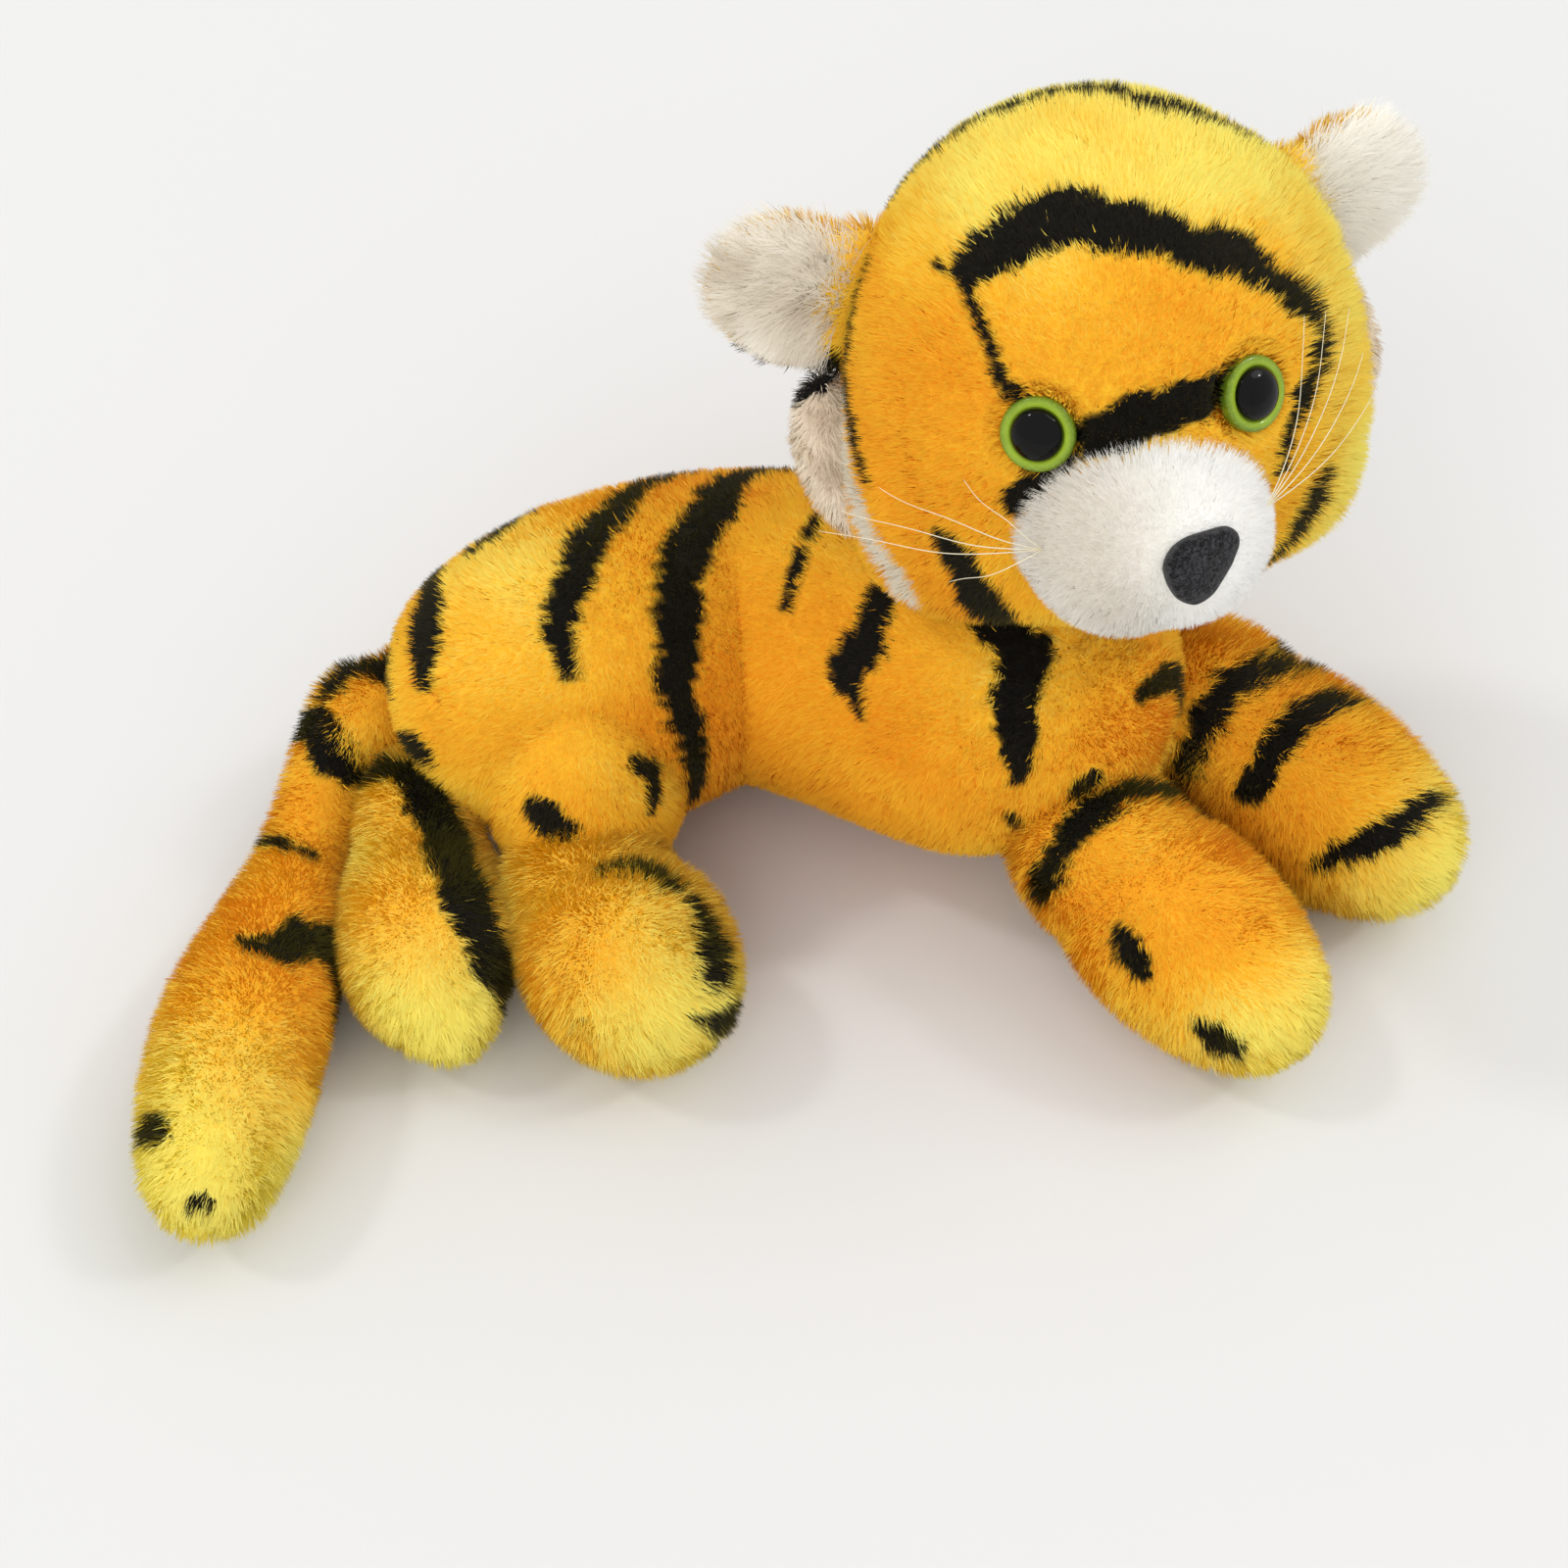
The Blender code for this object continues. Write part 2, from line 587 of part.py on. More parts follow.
def build_ear(word, side):
    """White front pad and yellow back pad; returns the groove to cut from the head and their pivot."""
    frame = ear_frame(side)
    centre = frame @ Matrix.Translation((0, EAR_RISE, 0))
    half = GAP / 2
    front_profile = [(EAR_FRONT_RADIUS * out, half + EAR_FRONT_THICK * up) for out, up in quarter_arc()]
    back_profile = [(EAR_BACK_RADIUS * out, -half - EAR_BACK_THICK * up) for out, up in quarter_arc()]
    back_profile.reverse()
    front = turned("ear_%s_front" % word, [*front_profile, (0, half)], centre, "beige_plush")
    back = turned("ear_%s_back" % word, [(0, -half), *back_profile], centre, "yellow_plush")
    across = frame.to_3x3() @ Matrix.Rotation(radians(90), 3, "Y")
    roll_size = (EAR_ROOT_RADIUS, EAR_ROOT_RADIUS, EAR_ROOT_SPAN / 2)
    clear_size = [size + GAP for size in roll_size]
    roll = ball("ear_%s_roll" % word, roll_size, frame.translation, PAD_FACETS, frame=across)
    groove = ball("ear_%s_groove" % word, clear_size, frame.translation, PAD_FACETS, frame=across)
    reach = EAR_BACK_RADIUS * 2
    below = block("ear_%s_trim" % word, (-reach, -reach, -reach), (reach, EAR_ROOT_LIFT, reach), frame)
    cut(back, below)
    fuse(back, roll)
    cut(front, below, groove)
    return groove, hang("ear_%s_pivot" % word, frame, (front, back))


def build_muzzle():
    """White muzzle with a shallow cleft, the felt nose sunk into its tip, and the whiskers."""
    centre = HEAD_FRAME @ (Vector(MUZZLE_PLACE_SHARES) * HEAD_RADIUS)
    radii = Vector((MUZZLE_WIDTH, MUZZLE_DEPTH, MUZZLE_HEIGHT)) / 2
    grid = unit_ball(MUZZLE_FACETS)
    for vert in grid.verts:
        under = max(0, -vert.co.z) * max(0, -vert.co.y)
        crease = exp(-(vert.co.x / CLEFT_WIDTH_SHARE) ** 2) * under * MUZZLE_CLEFT_SHARE
        vert.co = centre + HEAD_TURN @ (vert.co * radii * (1 - crease))
    muzzle = place("muzzle", mesh_of("muzzle", grid), "white_plush")
    outward = Vector(NOSE_DIRECTION_SHARES).normalized()
    spot = outward * (oval_reach(outward, radii) - NOSE_SINK)
    frame = frame_at(centre + HEAD_TURN @ spot, HEAD_TURN @ outward, HEAD_TURN.col[2])
    nose = nose_pad("nose", 0, frame, "black_felt")
    seat = nose_pad("nose_seat", GAP, frame)
    bunches, knots = zip(*[build_whiskers(word, side, centre, radii) for word, side in SIDES])
    cut(muzzle, head_form("head_clearance", -SEAM_GAP, HEAD_FACETS), seat, *knots)
    return muzzle, nose, *bunches


def nose_pad(name, grow, frame, colour=None):
    """The nose's rounded outline extruded to its thickness, grown all round by a clearance."""
    curve = bpy.data.curves.new(name + "_outline", "CURVE")
    curve.dimensions = "2D"
    curve.fill_mode = "BOTH"
    curve.extrude = NOSE_THICK / 2 + grow
    curve.resolution_u = 3
    line = curve.splines.new("BEZIER")
    line.bezier_points.add(len(NOSE_OUTLINE_SHARES) - 1)
    for point, (x_share, y_share) in zip(line.bezier_points, NOSE_OUTLINE_SHARES):
        point.co = (x_share * (NOSE_WIDTH + 2 * grow), y_share * (NOSE_HEIGHT + 2 * grow), 0)
        point.handle_left_type = point.handle_right_type = "AUTO"
    line.use_cyclic_u = True
    sketch = bpy.data.objects.new(name + "_sketch", curve)
    guides.objects.link(sketch)
    bpy.context.view_layer.update()
    mesh = bpy.data.meshes.new_from_object(sketch.evaluated_get(bpy.context.evaluated_depsgraph_get()))
    bpy.data.objects.remove(sketch, do_unlink=True)
    grid = bmesh.new()
    grid.from_mesh(mesh)
    bmesh.ops.remove_doubles(grid, verts=grid.verts, dist=WELD)
    bmesh.ops.recalc_face_normals(grid, faces=grid.faces)
    bmesh.ops.transform(grid, matrix=frame @ Matrix.Translation((0, 0, NOSE_THICK / 2)), verts=grid.verts)
    return place(name, mesh_of(name, grid), colour)


def build_whiskers(word, side, centre, radii):
    """Nylon strands that fan out of one knot; returns them and the knot's seat in the muzzle."""
    outward = mirrored(KNOT_DIRECTION_SHARES, side).normalized()
    out = oval_reach(outward, radii) + KNOT_RADIUS * (1 - KNOT_SINK_SHARE)
    knot_point = centre + HEAD_TURN @ (outward * out)
    bunch = ball("whiskers_" + word, KNOT_RADIUS, knot_point, KNOT_FACETS, "clear_nylon")
    for number, (angle, share) in enumerate(WHISKER_FANS[word]):
        start = Vector((cos(radians(angle)) * side, -WHISKER_FORWARD_SHARE, sin(radians(angle)))).normalized()
        sweep = mirrored(WHISKER_SWEEPS[word], side) * WHISKER_BEND_SHARE
        route = []
        for point in range(WHISKER_POINTS):
            t = point / (WHISKER_POINTS - 1)
            route.append(knot_point + HEAD_TURN @ (start * t + sweep * t * t) * WHISKER_LENGTH * share)
        strand = wire("whisker_%s_%d" % (word, number), route, WHISKER_RADIUS)
        fuse(bunch, strand)
    return bunch, ball("knot_seat_" + word, KNOT_RADIUS + GAP, knot_point, KNOT_FACETS)


def wire(name, route, radius):
    """A round wire along a route, as a closed mesh that can be fused."""
    curve = bpy.data.curves.new(name + "_route", "CURVE")
    curve.dimensions = "3D"
    curve.bevel_depth = radius
    curve.bevel_resolution = 0
    curve.use_fill_caps = True
    line = curve.splines.new("POLY")
    line.points.add(len(route) - 1)
    for point, place_ in zip(line.points, route):
        point.co = (*place_, 1)
    sketch = bpy.data.objects.new(name + "_sketch", curve)
    guides.objects.link(sketch)
    bpy.context.view_layer.update()
    mesh = bpy.data.meshes.new_from_object(sketch.evaluated_get(bpy.context.evaluated_depsgraph_get()))
    bpy.data.objects.remove(sketch, do_unlink=True)
    grid = bmesh.new()
    grid.from_mesh(mesh)
    bmesh.ops.remove_doubles(grid, verts=grid.verts, dist=WELD)
    bmesh.ops.recalc_face_normals(grid, faces=grid.faces)
    return place(name, mesh_of(name, grid))


def build_ruff(word, side):
    """A padded white strip that runs down behind one cheek to the neck."""
    spine, girths = [], []
    for angle, share in zip(RUFF_ANGLES, RUFF_GIRTH_SHARES):
        spot = Vector((RUFF_RADIUS * cos(radians(angle)) * side, RUFF_SETBACK,
                       -RUFF_RADIUS * sin(radians(angle))))
        spine.append(HEAD_FRAME @ spot)
        girths.append((RUFF_WIDTH / 2 * share, RUFF_THICK / 2 * share))
    ruff = swell("cheek_ruff_" + word, spine, girths, RUFF_BLUNT, PAD_FACETS, "beige_plush")
    cut(ruff, bpy.data.objects["head_clearance"])
    return ruff


def build_head():
    """Head skin and filling with their eye seats, ear grooves and neck opening."""
    face = build_muzzle()
    seats, eyes = zip(*[build_eye(word, side) for word, side in SIDES])
    grooves, ears = zip(*[build_ear(word, side) for word, side in SIDES])
    ruffs = [build_ruff(word, side) for word, side in SIDES]
    skin = head_form("head_skin", 0, HEAD_FACETS, "orange_plush")
    hollow = head_form("head_hollow", WALL, INNER_FACETS)
    mouth = drum("head_mouth", NECK_MOUTH + GAP, -HEAD_RADIUS - OVERRUN, -HEAD_RADIUS / 2, HEAD_FRAME)
    filling = head_form("head_filling", WALL + LOOSE_GAP, INNER_FACETS, "filling")
    end = HEAD_RADIUS - GAP
    plug_profile = [(0, -HEAD_RADIUS / 2), (NECK_MOUTH, -HEAD_RADIUS / 2)]
    for step in range(DOME_STEPS, -1, -1):
        angle = asin(NECK_MOUTH / end) * step / DOME_STEPS
        plug_profile.append((end * sin(angle), -end * cos(angle)))
    plug = turned("head_plug", plug_profile, HEAD_FRAME)
    cut(skin, *grooves, *seats, hollow, mouth)
    fuse(filling, plug)
    cut(filling, *seats)
    hang("head_pivot", HEAD_FRAME, [skin, filling, *face, *eyes[0], *eyes[1], *ruffs, *ears])


floor_size = TORSO_LENGTH * 2
floor_cutter = block("floor_plane", (-floor_size, -floor_size, -TORSO_GIRTH), (floor_size, floor_size, 0),
                     Matrix.Identity(4))
limb_sockets = [socket(limb) for limb in LIMBS]
build_torso(floor_cutter, limb_sockets)
build_thigh(floor_cutter, limb_sockets)
for limb in LIMBS:
    build_limb(limb, floor_cutter)
build_head()
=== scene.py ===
"""A plush tiger lying on its belly: pile, felt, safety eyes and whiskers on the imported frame.

Forms are worked out in millimetres and turned into metres when a mesh is made.
"""
from collections import namedtuple
from math import cos, sin, pi, radians, hypot
import bpy
import numpy as np
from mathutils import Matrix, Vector
from mathutils.kdtree import KDTree


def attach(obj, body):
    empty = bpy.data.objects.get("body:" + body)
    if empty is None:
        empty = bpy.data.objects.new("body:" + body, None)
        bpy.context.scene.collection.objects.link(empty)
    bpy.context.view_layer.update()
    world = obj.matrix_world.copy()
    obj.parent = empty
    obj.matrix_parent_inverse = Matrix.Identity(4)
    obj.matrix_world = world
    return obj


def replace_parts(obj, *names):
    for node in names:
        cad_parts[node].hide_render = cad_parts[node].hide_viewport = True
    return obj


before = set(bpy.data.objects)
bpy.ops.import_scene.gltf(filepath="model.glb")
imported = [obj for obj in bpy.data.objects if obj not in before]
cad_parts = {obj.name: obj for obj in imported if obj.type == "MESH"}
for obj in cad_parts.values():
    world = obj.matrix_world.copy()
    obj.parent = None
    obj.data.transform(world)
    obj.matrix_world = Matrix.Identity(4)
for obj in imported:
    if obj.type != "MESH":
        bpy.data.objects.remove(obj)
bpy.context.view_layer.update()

MM = 0.001
rng = np.random.default_rng(11)

# Sizes of the forms, as in the part's source, in millimetres
REST_CUT = 0.5
TORSO_LENGTH = 166.0
TORSO_GIRTH = 39.0
TORSO_ALONG = (-0.475, -0.262, -0.018, 0.307, 0.505)
TORSO_ACROSS = (-0.100, -0.105, 0.000, -0.128, -0.240)
TORSO_GIRTHS = (0.89, 0.96, 0.87, 1.02, 0.94)
TORSO_BLUNT = (2.5, 2.6)
THIGH_SIZE = (43.0, 50.0, 59.0)
THIGH_PLACE = (-0.226, -0.225)
HEAD_RADIUS = 48.0
HEAD_CENTRE = np.array((65.603, -4.897, 112.392))
HEAD_DEPTH = 0.97
HEAD_CROWN = 1.14
JOWL = (0.74, -0.06, -0.62)
JOWL_SPREAD = 27.0
JOWL_SHARES = {-1: 0.21, 1: 0.13}
THROAT_ANGLE, THROAT_FADE = 34.0, 20.0
NECK_MOUTH = 11.0
NECK_DEPTH = 11.5
MUZZLE_SIZE = (45.0, 41.0, 35.0)
MUZZLE_PLACE = (-0.05, -0.93, -0.25)
MUZZLE_CLEFT = 0.24
CLEFT_WIDTH = 0.28
NOSE_SIZE = (15.0, 13.0)
NOSE_SINK = 1.2
NOSE_DIRECTION = (0.25, -1.0, 0.14)
NOSE_OUTLINE = ((-0.47, 0.14), (-0.37, 0.34), (-0.17, 0.45), (0.14, 0.46), (0.42, 0.42), (0.52, 0.24),
                (0.42, -0.02), (0.24, -0.26), (0.06, -0.44), (-0.15, -0.51), (-0.34, -0.38), (-0.45, -0.12))
KNOT_RADIUS = 1.2
KNOT_SINK = 0.75
KNOT_DIRECTION = (0.93, -0.30, 0.22)
WHISKER_LENGTH = 42.0
WHISKER_BEND = 0.30
WHISKER_THICK, WHISKER_TAPER, WHISKER_END = 0.12, 0.07, 0.03
WHISKER_SIDES = 8
WHISKER_FANS = {"right": ((-14.0, 0.45), (14.0, 1.0), (21.0, 0.92), (31.0, 0.8), (50.0, 0.5)),
                "left": ((36.0, 0.75), (48.0, 0.85), (58.0, 1.0), (64.0, 0.95), (70.0, 0.9))}
WHISKER_FORWARD = 0.35
WHISKER_SWEEPS = {"right": (0.1, 0.85, 0.35), "left": (-0.5, 0.75, 0.35)}
EYE_DIRECTION = (0.443, -0.890, 0.225)
EYE_PRESS = 3.2
EYE_RADIUS = 7.0
PUPIL_RADIUS = 4.9
EAR_DIRECTION = (0.905, 0.240, 0.370)
EAR_TURNS = {-1: 24.0, 1: 42.0}
EAR_RISE = 11.2
EAR_ROOT_LIFT = 1.5
EAR_ROOT = (5.6, 8.0, 15.5)
EAR_ROOT_RISE = 2.0
EAR_FRONT = (14.4, 5.0)
EAR_BACK = (16.0, 5.5)
RUFF_RADIUS = 52.5
RUFF_SIZE = (15.0, 12.0)
RUFF_SETBACK = 9.0
RUFF_ANGLES = (-8.0, 8.0, 22.0, 34.0)
RUFF_GIRTHS = (0.8, 1.0, 1.0, 0.8)
ROOT_REACH = 15.0
Limb = namedtuple("Limb", "root heading length girth ball along across girths lifts blunt")
LIMBS = {
    "front_leg_right": Limb((69.0, -53.0, 27.0), -47.0, 60.0, 20.5, 18.0,
                            (0, 0.45, 1), (0, 0.00, -0.02), (0.88, 1.00, 0.84), (1, 0.1, 0), (2.7, 2.5)),
    "front_leg_left": Limb((92.5, -16.0, 29.0), -37.0, 65.0, 21.0, 18.5,
                           (0, 0.45, 1), (0, 0.00, -0.02), (0.89, 1.00, 0.86), (1, 0.1, 0), (2.7, 2.5)),
    "hind_leg_right": Limb((-37.0, -60.0, 21.5), -60.0, 44.0, 20.5, 16.5,
                           (0, 0.45, 1), (0, -0.02, 0.06), (0.82, 1.00, 0.92), (1, 0.0, 0), (2.4, 2.4)),
    "hind_leg_left": Limb((-73.5, -40.0, 22.0), -80.0, 57.5, 17.2, 12.3,
                          (0, 0.35, 0.70, 1), (0, -0.02, -0.02, 0.05), (0.73, 0.94, 1.00, 0.70),
                          (1, 0.2, 0, 0), (2.4, 2.2)),
    "tail": Limb((-80.0, -14.0, 29.0), -100.7, 127.0, 18.0, 8.8,
                 (0, 0.05, 0.30, 0.66, 1), (0, -0.070, -0.088, -0.075, -0.035),
                 (0.46, 0.47, 0.56, 0.93, 0.95), (1, 0.85, 0.1, 0, 0), (2.4, 3.0)),
}


def turn(angle, axis):
    c, s = cos(radians(angle)), sin(radians(angle))
    i, j = ((1, 2), (2, 0), (0, 1))["XYZ".index(axis)]
    matrix = np.eye(3)
    matrix[i, i] = matrix[j, j] = c
    matrix[i, j], matrix[j, i] = -s, s
    return matrix


HEAD_TURN = turn(9.0, "Z") @ turn(-19.5, "X") @ turn(-4.6, "Y")


def unit(vectors):
    return vectors / np.maximum(np.linalg.norm(vectors, axis=-1, keepdims=True), 1e-9)


def mirrored(direction, side):
    """The unit vector of a direction on the left side (1) or the right side (-1)."""
    return unit(np.array((direction[0] * side, *direction[1:])))


def smooth(values, low, high):
    share = np.clip((values - low) / (high - low), 0, 1)
    return share * share * (3 - 2 * share)


def along(points, shares):
    """Points at shares of a Catmull-Rom curve."""
    points = np.asarray(points, float)
    last = len(points) - 1
    shares = np.clip(np.atleast_1d(shares), 0, 1)
    index = np.minimum((shares * last).astype(int), last - 1)
    t = (shares * last - index)[:, None]
    ends = np.vstack([2 * points[0] - points[1], points, 2 * points[-1] - points[-2]])
    a, b, c, d = (ends[index + k] for k in range(4))
    return (b + (c - a) * t / 2 + (2 * a - 5 * b + 4 * c - d) * t * t / 2
            + (3 * b - a - 3 * c + d) * t ** 3 / 2)


class Swell:
    """A soft sausage: rings of half thicknesses on a spine; called with shares along it and angles."""

    def __init__(self, spine, girths, blunt):
        self.spine = np.asarray(spine, float)
        self.girths = np.asarray(girths, float).reshape(len(spine), -1) * (1, 1)
        self.blunt = blunt

    def cap(self, share):
        power = np.where(share < 0.5, self.blunt[0], self.blunt[1])
        return ((1 - np.minimum(np.abs(2 * share - 1), 1) ** power) ** (1 / power))[:, None]

    def __call__(self, t, angle, inset=0.0):
        share = (1 - np.cos(pi * t)) / 2
        spine = self.spine.copy()
        spine[0] += unit(spine[1] - spine[0]) * inset
        spine[-1] += unit(spine[-2] - spine[-1]) * inset
        ahead = along(spine, share + 0.001) - along(spine, share - 0.001)
        side = unit(np.cross((0, 0, 1), ahead))
        rise = unit(np.cross(ahead, side))
        girth = along(self.girths, share) - inset
        ring = side * (np.cos(angle) * girth[:, 0])[:, None] + rise * (np.sin(angle) * girth[:, 1])[:, None]
        return along(spine, share) + ring * self.cap(share)

    def depth(self, points):
        """How far inside the form points lie."""
        share = (1 - np.cos(pi * np.linspace(0, 1, 61))) / 2
        centres = along(self.spine, share)
        radii = (along(self.girths, share).mean(1)[:, None] * self.cap(share))[:, 0]
        away = np.linalg.norm(points[:, None] - centres[None], axis=2)
        nearest = away.argmin(1)
        return radii[nearest] - away[np.arange(len(points)), nearest]


class Oval:
    """An ellipsoid in a frame; share 0 is its lowest point and 1 its highest."""

    def __init__(self, centre, radii, turned=np.eye(3)):
        self.centre, self.radii, self.turned = np.asarray(centre, float), np.asarray(radii, float), turned

    def way(self, t, angle):
        return np.stack([np.sin(pi * t) * np.cos(angle), np.sin(pi * t) * np.sin(angle), -np.cos(pi * t)], 1)

    def __call__(self, t, angle, inset=0.0):
        return self.centre + self.way(t, angle) * (self.radii - inset) @ self.turned.T

    def depth(self, points):
        local = (points - self.centre) @ self.turned
        return (1 - np.linalg.norm(local / self.radii, axis=1)) * self.radii.min()


class Head(Oval):
    """A ball with a raised crown and two jowls."""

    def reach(self, ways):
        shape = np.stack([np.ones(len(ways)), np.full(len(ways), HEAD_DEPTH),
                          np.where(ways[:, 2] > 0, HEAD_CROWN, 1)], 1)
        out = HEAD_RADIUS * np.linalg.norm(ways * shape, axis=1)
        throat = np.degrees(np.arccos(np.clip(-ways[:, 2], -1, 1))) - THROAT_ANGLE
        fade = np.sin(pi / 2 * np.clip(throat / THROAT_FADE, 0, 1))
        for side in (-1, 1):
            jowl = mirrored(JOWL, side)
            off = np.degrees(np.arccos(np.clip(ways @ jowl, -1, 1))) / JOWL_SPREAD
            out += HEAD_RADIUS * JOWL_SHARES[side] * np.exp(-off * off) * fade
        return out

    def __call__(self, t, angle, inset=0.0):
        ways = self.way(t, angle)
        return self.centre + ways * (self.reach(ways) - inset)[:, None] @ self.turned.T

    def depth(self, points):
        local = (points - self.centre) @ self.turned
        return self.reach(unit(local)) - np.linalg.norm(local, axis=1)


class Muzzle(Oval):
    """The muzzle's ellipsoid with the shallow cleft under its nose."""

    def __call__(self, t, angle, inset=0.0):
        ways = self.way(t, angle)
        under = np.maximum(0, -ways[:, 2]) * np.maximum(0, -ways[:, 1])
        crease = np.exp(-(ways[:, 0] / CLEFT_WIDTH) ** 2) * under * MUZZLE_CLEFT
        return self.centre + ways * (self.radii - inset) * (1 - crease)[:, None] @ self.turned.T


class Pad:
    """A domed disc of an ear; its share runs over the dome to 1 at the rim and along the back to 2."""

    def __init__(self, centre, turned, radius, thick, side):
        self.centre, self.turned, self.radius, self.thick, self.side = centre, turned, radius, thick, side

    def __call__(self, t, angle, inset=0.0):
        t = np.asarray(t, float)
        out = np.where(t < 1, np.sin(pi / 2 * t), 2 - t) * (self.radius - inset)
        up = np.where(t < 1, np.cos(pi / 2 * np.minimum(t, 1)), 0) * (self.thick - inset) + 0.15
        local = np.stack([out * np.cos(angle), out * np.sin(angle), up * self.side], 1)
        return self.centre + local @ self.turned.T

    def depth(self, points):
        local = (points - self.centre) @ self.turned
        return np.minimum(self.radius - np.hypot(local[:, 0], local[:, 1]), self.thick - np.abs(local[:, 2]))


def torso_form():
    spine = [(TORSO_LENGTH * a, TORSO_LENGTH * b, TORSO_GIRTH * g - REST_CUT)
             for a, b, g in zip(TORSO_ALONG, TORSO_ACROSS, TORSO_GIRTHS)]
    return Swell(spine, [TORSO_GIRTH * g for g in TORSO_GIRTHS], TORSO_BLUNT)


def limb_form(limb):
    ahead = np.array((cos(radians(limb.heading)), sin(radians(limb.heading)), 0))
    left = np.array((-ahead[1], ahead[0], 0))
    spine = []
    for share, across, girth, lift in zip(limb.along, limb.across, limb.girths, limb.lifts):
        lying = limb.girth * girth - REST_CUT
        point = np.array(limb.root) + ahead * limb.length * share + left * limb.length * across
        point[2] = lying + (limb.root[2] - lying) * lift
        spine.append(point)
    return Swell(spine, [limb.girth * girth for girth in limb.girths], limb.blunt)


def ruff_form(side):
    spine = [HEAD_CENTRE + HEAD_TURN @ (RUFF_RADIUS * cos(radians(a)) * side, RUFF_SETBACK,
                                        -RUFF_RADIUS * sin(radians(a))) for a in RUFF_ANGLES]
    return Swell(spine, [(RUFF_SIZE[0] / 2 * g, RUFF_SIZE[1] / 2 * g) for g in RUFF_GIRTHS], (2.2, 2.2))


def upright(outward, upward):
    """Axes whose Z looks outward and whose Y is nearest to upward, as columns."""
    z_axis = unit(np.asarray(outward, float))
    x_axis = unit(np.cross(upward, z_axis))
    return np.stack([x_axis, np.cross(z_axis, x_axis), z_axis], 1)


SIDES = (("right", -1), ("left", 1))
head = Head(HEAD_CENTRE, (HEAD_RADIUS,) * 3, HEAD_TURN)
muzzle = Muzzle(HEAD_CENTRE + HEAD_TURN @ (np.array(MUZZLE_PLACE) * HEAD_RADIUS),
                np.array(MUZZLE_SIZE) / 2, HEAD_TURN)


def on_head(direction, sink=0.0):
    way = unit(np.asarray(direction, float))[None]
    return HEAD_CENTRE + HEAD_TURN @ (way[0] * (head.reach(way)[0] - sink))


def eye_place(side):
    way = mirrored(EYE_DIRECTION, side)
    return on_head(way, EYE_PRESS), upright(HEAD_TURN @ way, HEAD_TURN[:, 2])


def nose_place():
    way = unit(np.array(NOSE_DIRECTION))
    out = 1 / np.linalg.norm(way / muzzle.radii) - NOSE_SINK
    return muzzle.centre + HEAD_TURN @ (way * out), upright(HEAD_TURN @ way, HEAD_TURN[:, 2])


def ear_place(side):
    way = mirrored(EAR_DIRECTION, side)
    up = HEAD_TURN @ way
    front = HEAD_TURN @ turn(EAR_TURNS[side] * side, "Z") @ (0, -1, 0)
    seam = unit(np.cross(up, front))
    return on_head(way, -0.3), np.stack([seam, up, np.cross(seam, up)], 1)


FORMS = {"torso": torso_form(), "thigh_right": Oval(
    (TORSO_LENGTH * THIGH_PLACE[0], TORSO_LENGTH * THIGH_PLACE[1], THIGH_SIZE[2] / 2 - REST_CUT),
    np.array(THIGH_SIZE) / 2), "head": head, "muzzle": muzzle}
FORMS.update({name: limb_form(limb) for name, limb in LIMBS.items()})
for name, limb in LIMBS.items():
    onward = unit(along(FORMS[name].spine, 0.35)[0] - limb.root)
    rise = unit(np.cross(onward, (sin(radians(limb.heading)), -cos(radians(limb.heading)), 0)))
    FORMS[name + "_root"] = Oval(limb.root + onward * ROOT_REACH / 2,
                                 (limb.ball + ROOT_REACH / 2, limb.ball + 0.3, limb.ball + 0.3),
                                 np.stack([onward, np.cross(rise, onward), rise], 1))
for word, side in SIDES:
    spot, axes = ear_place(side)
    middle = spot + axes[:, 1] * EAR_RISE
    FORMS["ear_%s_front" % word] = Pad(middle, axes, *EAR_FRONT, 1)
    FORMS["ear_%s_back" % word] = Pad(middle, axes, *EAR_BACK, -1)
    FORMS["cheek_ruff_" + word] = ruff_form(side)

